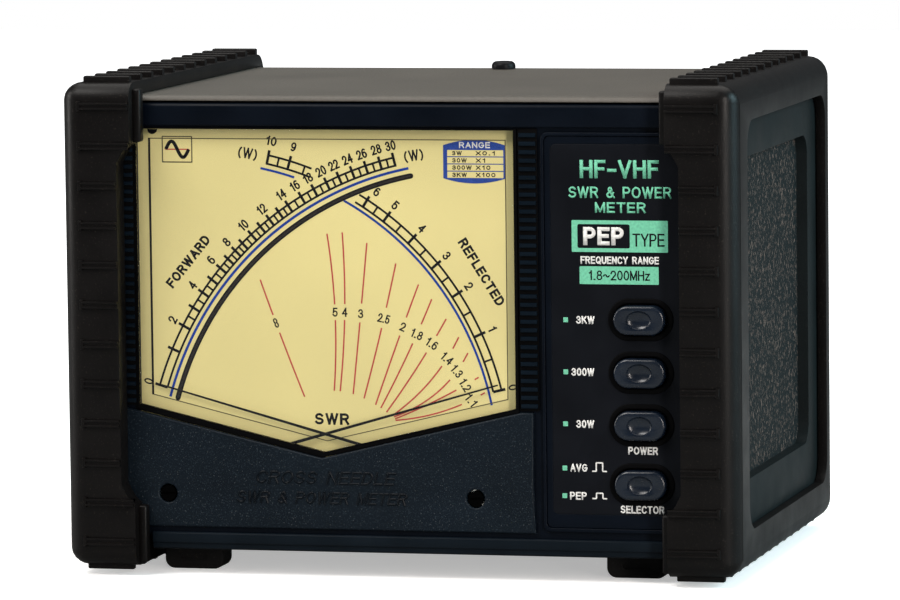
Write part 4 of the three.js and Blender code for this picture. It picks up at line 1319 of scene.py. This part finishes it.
def print_emblem(dial):
    """A plain framed sine wave at the upper left."""
    dial.shapes("emblem_frame", [
        rounded_rectangle(-65.3, -57.0, 108.2, 115.2, 0.2, 2),
        rounded_rectangle(-65.0, -57.3, 108.5, 114.9, 0.2, 2)], "line_ink")
    wave = [(-64.2 + 6.2 * i / 24, 111.7 + 2.1 * math.sin(2 * math.pi * i / 24)) for i in range(25)]
    dial.shapes("emblem_wave", [stroke(wave, 0.9)], "black_ink", 1)
    dial.shapes("emblem_line", [stroke([(-64.4, 111.7), (-57.9, 111.7)], 0.3)], "red_ink", 0)


def print_border(dial):
    """The thin line inside the window's edge, with painted shade outside it where the case's edge would
    shadow the dial.
    """
    inner = window_outline(2.53)
    shade = window_outline(-0.6)
    # Painted shade: a darker band of dial card just inside the window's edge, where the case casts its
    # shadow.
    dial.shapes("border_shade", [shade, inner], "dial_shade", -1)
    line_inner = window_outline(2.78)
    dial.shapes("border_line", [inner, line_inner], "line_ink", 1)
    # Painted shadow: a black stroke down the left side only, for the dark inner edge of the window's step.
    left = inner[1][0]
    dial.shapes("border_left", [stroke([(left + 0.15, inner[0][1]), (left + 0.15, inner[1][1])], 0.55)],
                "black_ink", 2)


# ---- control panel --------------------------------------------------------------------------------

def model_panel_frame():
    """The frame round the control panel: an outer rim and a lower inner step."""
    x0, x1, z0, z1 = PANEL_LOW.x, PANEL_HIGH.x, PANEL_LOW.z, PANEL_HIGH.z
    rim = add_plate("panel_rim", [
        rounded_rectangle(x0, x1, z0, z1, 1.8),
        rounded_rectangle(x0 + 0.8, x1 - 0.8, z0 + 1.0, z1 - 0.9, 1.4)],
        PANEL_LOW.y, PANEL_HIGH.y, 0.2)
    step = add_plate("panel_step", [
        rounded_rectangle(x0 + 0.9, x1 - 0.9, z0 + 1.1, z1 - 1.0, 1.4),
        rounded_rectangle(LABEL_LOW.x, LABEL_HIGH.x, LABEL_LOW.z, LABEL_HIGH.z, 1.5)],
        PANEL_LOW.y + 0.3, PANEL_HIGH.y, 0.15)
    return join([rim, step], "panel_frame")


def model_label_plate():
    """The printed plate with a well for each button."""
    outlines = [rounded_rectangle(LABEL_LOW.x, LABEL_HIGH.x, LABEL_LOW.z, LABEL_HIGH.z, 1.4)]
    outlines += [button_oblong(name, BUTTON_OPENING) for name in BUTTONS]
    return add_plate("label_sheet", outlines, LABEL_LOW.y, LABEL_HIGH.y, 0.12)


def model_wells():
    """A dished ring round each button, painted near-black: painted shade for the shadow that rings each
    button.
    """
    first = BUTTONS[0]
    ring = add_plate(
        "well", [button_oblong(first, BUTTON_WELL), button_oblong(first, BUTTON_WELL_MOUTH)],
        LABEL_LOW.y - 0.28, LABEL_HIGH.y, 0.25)
    return join([ring] + [copy_to(ring, first, name, "well") for name in BUTTONS[1:]], "button_wells")


def model_button(name, edge):
    """A push button: an oblong cap with a polished rim and a shallow oval dimple, on its stem."""
    low, high = node_box(name)
    x, z = (low.x + high.x) / 2, (low.z + high.z) / 2
    outline = button_oblong(name, (high.x - low.x, high.z - low.z))
    cap = add_plate(name + "_cap", [outline], low.y, low.y + 6.6, edge, resolution=5)
    clear_selection()
    bpy.ops.mesh.primitive_uv_sphere_add(segments=48, ring_count=32, radius=1, location=(x, low.y - 0.15, z))
    ball = bpy.context.object
    ball.scale = BUTTON_DIMPLE
    bpy.ops.object.transform_apply(location=True, rotation=True, scale=True)
    combine(cap, [ball], "DIFFERENCE")
    soften(cap, 0.12, 2, 25)
    stem = add_block("stem", (x - 3, low.y + 6, z - 1.8), (x + 3, high.y, z + 1.8))
    soften(stem, 0.3)
    return join([cap, stem], name + "_cap")


CAPTIONS = (
    # words, centre x, centre z, width, height, ink, weight
    ("HF-VHF", 57.8, 107.5, 20.9, 4.8, "mint_ink", 0.95),
    ("SWR & POWER", 57.9, 101.5, 27.2, 3.0, "mint_ink", 0.55),
    ("METER", 58.0, 97.6, 13.4, 2.8, "mint_ink", 0.55),
    ("FREQUENCY RANGE", 57.7, 84.0, 20.7, 2.0, "white_ink", 0.42),
    ("3KW", 48.5, 68.5, 4.9, 2.1, "white_ink", 0.44),
    ("300W", 47.7, 55.0, 6.1, 2.1, "white_ink", 0.44),
    ("30W", 48.2, 41.5, 4.8, 2.1, "white_ink", 0.44),
    ("POWER", 63.4, 34.8, 7.9, 2.1, "white_ink", 0.44),
    ("AVG", 46.4, 30.1, 4.6, 2.1, "white_ink", 0.44),
    ("PEP", 46.2, 22.8, 4.5, 2.1, "white_ink", 0.44),
    ("SELECTOR", 63.1, 19.5, 11.6, 2.1, "white_ink", 0.44),
)


def print_panel(sheet):
    """Captions, boxes, marks and pulse symbols of the control panel."""
    for words, x, z, width, height, material, weight in CAPTIONS:
        name = "caption_" + words.lower().replace(" ", "_").replace("&", "and")
        sheet.words(name, words, (x, z), width, height, material, 0, weight)
    sheet.shapes("type_box", [
        rounded_rectangle(45.1, 70.4, 86.1, 94.3, 0.2, 2),
        rounded_rectangle(46.6, 60.4, 87.1, 93.3, 0.5, 4)],
        "mint_ink")
    sheet.words("type_word", "PEP", (53.5, 90.2), 10.8, 4.8, "white_ink", 0, 1.15)
    sheet.words("type_note", "TYPE", (65.3, 89.3), 8.4, 3.4, "black_ink", 0, 0.48, 1)
    sheet.shapes("band_box", [rounded_rectangle(47.1, 67.9, 77.8, 82.4, 0.2, 2)], "mint_ink")
    sheet.words("band_word", "1.8~200MHz", (57.5, 80.1), 16.2, 2.6, "black_ink", 0, 0.4, 1)
    for i, (x, z) in enumerate(((43.3, 68.5), (43.2, 55.0), (43.0, 41.5), (42.7, 30.0), (42.6, 22.8))):
        square = rounded_rectangle(x - 0.62, x + 0.62, z - 0.62, z + 0.62, 0.1, 2)
        sheet.shapes(f"mark_{i}", [square], "mint_ink")
    for name, z, height in (("average", 29.3, 2.2), ("peak", 22.2, 1.4)):
        x = 49.9
        line = [(x, z), (x + 1.1, z), (x + 1.1, z + height),
                (x + 2.8, z + height), (x + 2.8, z), (x + 3.9, z)]
        parts = [stroke([line[i], line[i + 1]], 0.34) for i in (0, 2, 4)]
        uprights = [stroke([line[i], line[i + 1]], 0.34) for i in (1, 3)]
        sheet.shapes("pulse_" + name, parts, "white_ink")
        sheet.shapes("pulse_sides_" + name, uprights, "white_ink", 1)


# ---- feet and coaxial sockets ---------------------------------------------------------------------

def model_foot(node):
    """A rubber foot with rounded lower corners and a shallow dent in its front."""
    low, high = node_box(node)
    outline = rounded_rectangle(low.x, high.x, low.z, high.z, [2.6, 2.6, 0.8, 0.8], 8)
    foot = add_plate(node + "_pad", [outline], low.y, high.y, 0.7, resolution=3)
    middle = (low.x + high.x) / 2
    dent = add_plate(
        "dent", [rounded_rectangle(middle - 3.6, middle + 3.6, 2.5, 4.1, 0.75)], low.y - 2, low.y + 0.5)
    return combine(foot, [dent], "DIFFERENCE")


def model_barrel(name, x, z, low, flange_front, high):
    """A hollow barrel with a ridged thread, from low to high along Y."""
    start, end = flange_front + 1.8, high - 1.5
    pitch = (end - start) / THREAD_TURNS
    profile = [(6.2, low), (7.0, low), (7.0, flange_front), (7.9, flange_front), (7.9, start - 0.1)]
    for i in range(THREAD_TURNS):
        y = start + pitch * i
        profile += [(7.35, y), (7.9, y + pitch * 0.35), (7.9, y + pitch * 0.6), (7.35, y + pitch * 0.95)]
    profile += [(7.3, end + 0.1), (7.3, high - 0.3), (7.0, high), (6.45, high)]
    profile += [(6.2, high - 0.3), (6.2, low)]
    return place(add_turned(name, profile), (x, 0, z))


def model_bolt_head(x, y, z):
    """A slotted round head on a short shank."""
    profile = [(0, 0), (1.5, 0), (1.5, 1.9), (2.8, 1.9), (2.6, 2.9), (1.6, 3.4), (0, 3.5)]
    head = place(add_turned("head", profile, 24), (x, y, z))
    slot = add_block("slot", (x - 3, y + 2.9, z - 0.3), (x + 3, y + 5, z + 0.3))
    return combine(head, [slot], "DIFFERENCE")


def model_socket(side):
    """A panel socket: a threaded barrel on a square flange with four bolts."""
    low, high = node_box(side + "_connector")
    x, z = (low.x + high.x) / 2, (low.z + high.z) / 2
    flange_front = low.y + 4.0
    barrel = model_barrel(side + "_barrel", x, z, low.y, flange_front, high.y)
    holes = [circle(x, z, 7.05)] + [circle(x + a, z + b, 1.6) for a, b in BOLT_PLACES]
    flange = add_plate(
        "flange", [rounded_rectangle(x - 12.5, x + 12.5, z - 12.5, z + 12.5, 1.6)] + holes,
        flange_front, flange_front + 1.8, 0.2)
    bolt = model_bolt_head(x, flange_front, z)
    heads = [copy_piece(bolt, (a, 0, b)) for a, b in BOLT_PLACES]
    discard([bolt])
    return join([barrel, flange] + heads, side + "_socket")


# ---- operators ------------------------------------------------------------------------------------

class METER_OT_materials(bpy.types.Operator):
    """Build every finish of the meter"""

    bl_idname = "meter.materials"
    bl_label = "Materials"

    def execute(self, context):
        make_materials(context.scene.meter_colours)
        return {"FINISHED"}


class METER_OT_bumpers(bpy.types.Operator):
    """Model the two end bumpers with their grip bars"""

    bl_idname = "meter.bumpers"
    bl_label = "Bumpers"

    def execute(self, context):
        right = paint(model_bumper(context.scene.meter_shape), MATERIALS["bumper"])
        left = mirrored_copy(right, "bumper_left_shell")
        finish_piece(right, "case", ["bumper_right"])
        finish_piece(left, "case", ["bumper_left"])
        return {"FINISHED"}


class METER_OT_cheeks(bpy.types.Operator):
    """Model the two end plates with their pebbled pockets"""

    bl_idname = "meter.cheeks"
    bl_label = "Cheeks"

    def execute(self, context):
        right = model_cheek()
        left = mirrored_copy(right, "cheek_left_plate")
        finish_piece(right, "case", ["cheek_right"])
        finish_piece(left, "case", ["cheek_left"])
        return {"FINISHED"}


class METER_OT_case(bpy.types.Operator):
    """Model the steel cover and its screw, and finish the chassis and rear panel"""

    bl_idname = "meter.case"
    bl_label = "Case"

    def execute(self, context):
        cover = paint(model_top_cover(), MATERIALS["case_paint"])
        finish_piece(cover, "case", ["top_cover"])
        low, high = node_box("top_cover_screw")
        x, y = (low.x + high.x) / 2, (low.y + high.y) / 2
        head = add_post("head", x, y, 3.3, high.z - 2.0, high.z, 48)
        round_edges(head, 1.35, 6, at(2, high.z))
        combine(head, [
            add_block("slot", (x - a, y - b, high.z - 1.2), (x + a, y + b, high.z + 1))
            for a, b in ((1.9, 0.35), (0.35, 1.9))], "DIFFERENCE")
        shank = add_post("shank", x, y, 1.4, low.z, high.z - 1.5, 24)
        screw = paint(join([head, shank], "cover_screw"), MATERIALS["black"])
        finish_piece(screw, "case", ["top_cover_screw"])
        repaint("bottom_chassis", "chassis")
        repaint("rear_panel", "case_paint")
        return {"FINISHED"}


class METER_OT_front(bpy.types.Operator):
    """Model the bezel, the trims, the lower cover and the window"""

    bl_idname = "meter.front"
    bl_label = "Front"

    def execute(self, context):
        finish_piece(model_bezel(), "case", ["front_bezel"])
        for left in (False, True):
            node = "meter_trim_left" if left else "meter_trim_right"
            finish_piece(model_trim(left), "case", [node])
        cover = paint(model_lower_cover(), MATERIALS["lower_cover"])
        finish_piece(cover, "case", ["lower_cover"])
        lines = [
            add_caption("line", words, centre, width, height, BEZEL_FRONT, 0, 0.62, 0.25, 0.3)
            for words, centre, width, height in (
                ("CROSS NEEDLE", (-21.2, 26.3), 37.4, 3.5),
                ("SWR & POWER METER", (-22.3, 21.0), 45.8, 3.3))]
        lettering = paint(join(lines, "raised_lettering"), MATERIALS["raised_lettering"])
        finish_piece(lettering, "case")
        pane = paint(
            add_plate("window_pane", [window_outline()], PANE_LOW.y, PANE_HIGH.y, 0.15), MATERIALS["clear"])
        finish_piece(pane, "case", ["meter_window"], smooth=0)
        # Painted shade: a near-black gasket round the pane, widest below it, for the dark recess between the
        # window and the lower cover.
        outer = [(x + (0.9 if x > 0 else -0.9), z + (0.5 if z > 100 else -1.6)) for x, z in window_outline()]
        gasket = add_plate(
            "window_gasket", [outer, window_outline(-0.05)], BEZEL_FRONT + 0.5, PLATE_FRONT + 0.4, 0.1)
        finish_piece(paint(gasket, MATERIALS["gasket"]), "case")
        return {"FINISHED"}


class METER_OT_dial(bpy.types.Operator):
    """Print the dial: its scales, numbers, SWR curves, range table and border"""

    bl_idname = "meter.dial"
    bl_label = "Dial"

    def execute(self, context):
        repaint("dial_plate", "dial")
        dial = Printing(DIAL_FRONT, context.scene.meter_shape.print_thickness / MM)
        print_border(dial)
        print_scales(dial)
        print_numbers(dial)
        dial.shapes("swr_curves", swr_strokes(), "red_ink")
        print_range_table(dial)
        print_emblem(dial)
        finish_piece(join(dial.pieces, "dial_print"), "case", smooth=0)
        pip = add_plate(
            "window_pip", [arc((-66.9, 117.2), 1.3, 180, 360, 12)], BEZEL_FRONT - 0.02, BEZEL_FRONT + 0.4)
        finish_piece(paint(pip, MATERIALS["gasket"]), "case")
        return {"FINISHED"}


class METER_OT_movements(bpy.types.Operator):
    """Finish the needles, the moving coils and the rest of the inside of the meter"""

    bl_idname = "meter.movements"
    bl_label = "Movements"

    def execute(self, context):
        # The zero screws take the near-black plastic: painted shade in their holes.
        for side in ("forward", "reflected"):
            for part, material in (
                    ("needle", "needle"), ("coil", "copper"), ("yoke", "iron"), ("core", "iron"),
                    ("hairspring", "gilt"), ("zero_arm", "nickel"), ("zero_screw", "deep_black")):
                repaint(f"{side}_{part}", material)
        repaint("meter_case", "black")
        repaint("dial_lamp_left", "clear")
        repaint("dial_lamp_right", "clear")
        return {"FINISHED"}


class METER_OT_panel(bpy.types.Operator):
    """Model the control panel's frame and label plate, and print its captions"""

    bl_idname = "meter.panel"
    bl_label = "Control panel"

    def execute(self, context):
        surround = paint(model_panel_frame(), MATERIALS["bezel"])
        finish_piece(surround, "case", ["control_panel"])
        finish_piece(paint(model_label_plate(), MATERIALS["label"]), "case", ["label_plate"])
        # Painted shade: the wells take the near-black gasket plastic.
        finish_piece(paint(model_wells(), MATERIALS["gasket"]), "case")
        sheet = Printing(LABEL_LOW.y, context.scene.meter_shape.print_thickness / MM)
        print_panel(sheet)
        finish_piece(join(sheet.pieces, "panel_print"), "case", smooth=0)
        return {"FINISHED"}


class METER_OT_buttons(bpy.types.Operator):
    """Model the four push buttons and finish the switches behind them"""

    bl_idname = "meter.buttons"
    bl_label = "Push buttons"

    def execute(self, context):
        edge = context.scene.meter_shape.button_edge / MM
        first = paint(model_button(BUTTONS[0], edge), MATERIALS["button"])
        caps = [first] + [copy_to(first, BUTTONS[0], name, name + "_cap") for name in BUTTONS[1:]]
        for name, cap in zip(BUTTONS, caps):
            finish_piece(cap, name, [name])
            repaint(name.replace("button", "switch"), "black")
        repaint("switch_board", "board")
        return {"FINISHED"}


class METER_OT_feet(bpy.types.Operator):
    """Model the four rubber feet"""

    bl_idname = "meter.feet"
    bl_label = "Feet"

    def execute(self, context):
        first = paint(model_foot(FEET[0]), MATERIALS["rubber"])
        pads = [first] + [copy_to(first, FEET[0], node, node + "_pad") for node in FEET[1:]]
        for node, pad in zip(FEET, pads):
            finish_piece(pad, "case", [node])
        return {"FINISHED"}


class METER_OT_sockets(bpy.types.Operator):
    """Model the coaxial sockets with their threads, and finish the coupler and the power jack"""

    bl_idname = "meter.sockets"
    bl_label = "Sockets"

    def execute(self, context):
        first = paint(model_socket("transmitter"), MATERIALS["nickel"])
        second = copy_to(first, "transmitter_connector", "antenna_connector", "antenna_socket")
        for side, socket in (("transmitter", first), ("antenna", second)):
            finish_piece(socket, "case", [side + "_connector"])
            repaint(side + "_insulator", "insulator")
            repaint(side + "_contact", "gilt")
        for node, material in (
                ("dc_jack", "black"), ("dc_pin", "nickel"), ("coupler_box", "tinplate"),
                ("coupler_lid", "tinplate"), ("coupler_board", "board"), ("coupler_line", "nickel"),
                ("coupler_toroid", "ferrite")):
            repaint(node, material)
        return {"FINISHED"}


WARM_WHITE = (1.0, 0.97, 0.93)
LIGHT_TARGET = (0, 0, 0.065)
LIGHTS = (
    # name, place and size in metres, watts, colour
    ("key_light", (-0.9, -1.1, 1.7), (1.2, 0.9), 35, WARM_WHITE),
    ("top_light", (0.0, 0.25, 1.5), (1.8, 1.4), 22.5, WARM_WHITE),
    ("side_light", (1.6, 0.1, 0.7), (1.0, 1.0), 34, (0.58, 0.90, 1.0)),
    ("corner_light", (1.1, -1.25, 0.4), (0.22, 1.1), 20, (1.0, 0.92, 0.86)),
    ("left_light", (-1.5, -0.2, 0.4), (0.3, 1.1), 12, WARM_WHITE),
)


def aim_light(name, place, target, size, power, colour):
    """An area light that faces a point."""
    clear_selection()
    bpy.ops.object.light_add(type="AREA", location=place)
    light = bpy.context.object
    light.name = name
    light.data.shape = "RECTANGLE"
    light.data.size, light.data.size_y = size
    light.data.energy = power
    light.data.color = colour
    light.rotation_euler = (Vector(target) - Vector(place)).to_track_quat("-Z", "Y").to_euler()
    return light


def studio_world():
    """A white studio that lights the object only dimly, so that dark plastic stays dark."""
    world = bpy.data.worlds.new("studio")
    world.use_nodes = True
    tree = world.node_tree
    dim = tree.nodes["Background"]
    dim.inputs["Color"].default_value = (0.9, 0.95, 1.0, 1)
    dim.inputs["Strength"].default_value = 0.12
    white = tree.nodes.new("ShaderNodeBackground")
    white.inputs["Color"].default_value = (1, 1, 1, 1)
    path = tree.nodes.new("ShaderNodeLightPath")
    mixer = tree.nodes.new("ShaderNodeMixShader")
    tree.links.new(path.outputs["Is Camera Ray"], mixer.inputs["Fac"])
    tree.links.new(dim.outputs["Background"], mixer.inputs[1])
    tree.links.new(white.outputs["Background"], mixer.inputs[2])
    tree.links.new(mixer.outputs["Shader"], tree.nodes["World Output"].inputs["Surface"])
    return world


def studio_floor():
    """A matte white table that sends only a little light back on the object."""
    surface = Surface("studio_floor", Roughness=1.0, Specular_IOR_Level=0.0)
    clouds = surface.noise(900.0, 1.0)
    tone = surface.ramp(clouds, "Fac", [(0.3, (0.93, 0.93, 0.93)), (0.7, (0.95, 0.95, 0.95))])
    path = surface.add("ShaderNodeLightPath")
    surface.set_colour(surface.mix((path, "Is Camera Ray"), (0.3, 0.3, 0.3), (tone, "Color")))
    nearness = surface.texture("ShaderNodeTexGradient", (0.7, 0.7, 0.7), gradient_type="SPHERICAL")
    brightness = surface.ramp(nearness, "Fac", [(0.05, (1, 1, 1)), (0.8, (0.42, 0.42, 0.42))])
    glow = surface.mix((path, "Is Camera Ray"), (0.0, 0.0, 0.0), (brightness, "Color"))
    surface.tree.links.new(glow, surface.shader.inputs["Emission Color"])
    surface.shader.inputs["Emission Strength"].default_value = 1.0
    return surface.material


class METER_OT_stage(bpy.types.Operator):
    """Set up the pale floor, the studio lights and the camera"""

    bl_idname = "meter.stage"
    bl_label = "Stage"

    def execute(self, context):
        stage = context.scene.meter_stage
        clear_selection()
        bpy.ops.mesh.primitive_plane_add(size=5, location=(0, 0, 0))
        floor = bpy.context.object
        floor.name = "studio_floor"
        floor.data.materials.append(studio_floor())
        context.scene.world = studio_world()
        context.scene.view_settings.view_transform = "Standard"
        for name, place, size, watts, colour in LIGHTS:
            aim_light(name, place, LIGHT_TARGET, size, watts * stage.light_power, colour)
        clear_selection()
        bpy.ops.object.camera_add(location=stage.camera_place)
        camera = bpy.context.object
        camera.name = "studio_camera"
        turn = (Matrix.Rotation(stage.camera_heading, 4, "Z")
                @ Matrix.Rotation(math.pi / 2 - stage.camera_dip, 4, "X")
                @ Matrix.Rotation(-stage.camera_roll, 4, "Z"))
        camera.rotation_euler = turn.to_euler()
        camera.data.sensor_width = 36
        camera.data.lens = stage.focal_length
        camera.data.clip_end = 100
        context.scene.camera = camera
        return {"FINISHED"}


class METER_PT_build(bpy.types.Panel):
    """Settings and steps of the power meter"""

    bl_idname = "METER_PT_build"
    bl_label = "Power Meter"
    bl_space_type = "VIEW_3D"
    bl_region_type = "UI"
    bl_category = "Power Meter"

    def draw(self, context):
        layout = self.layout
        for group in (context.scene.meter_shape, context.scene.meter_colours, context.scene.meter_stage):
            column = layout.column(align=True)
            for key in group.__annotations__:
                column.prop(group, key)
        for operator in STEPS:
            layout.operator(operator.bl_idname)


STEPS = (
    METER_OT_materials, METER_OT_stage, METER_OT_bumpers, METER_OT_cheeks, METER_OT_case, METER_OT_front,
    METER_OT_dial, METER_OT_movements, METER_OT_panel, METER_OT_buttons, METER_OT_feet, METER_OT_sockets,
)
SETTINGS = {
    "meter_shape": MeterShapeSettings,
    "meter_colours": MeterColourSettings,
    "meter_stage": MeterStageSettings,
}


def register():
    for kind in (*SETTINGS.values(), *STEPS, METER_PT_build):
        bpy.utils.register_class(kind)
    for name, kind in SETTINGS.items():
        setattr(bpy.types.Scene, name, PointerProperty(type=kind))


def unregister():
    for name in SETTINGS:
        delattr(bpy.types.Scene, name)
    for kind in (METER_PT_build, *reversed(STEPS), *SETTINGS.values()):
        bpy.utils.unregister_class(kind)


def main():
    """Builds the meter step by step."""
    register()
    for operator in STEPS:
        group, step = operator.bl_idname.split(".")
        getattr(getattr(bpy.ops, group), step)()
    clear_selection()


if __name__ == "__main__":
    main()
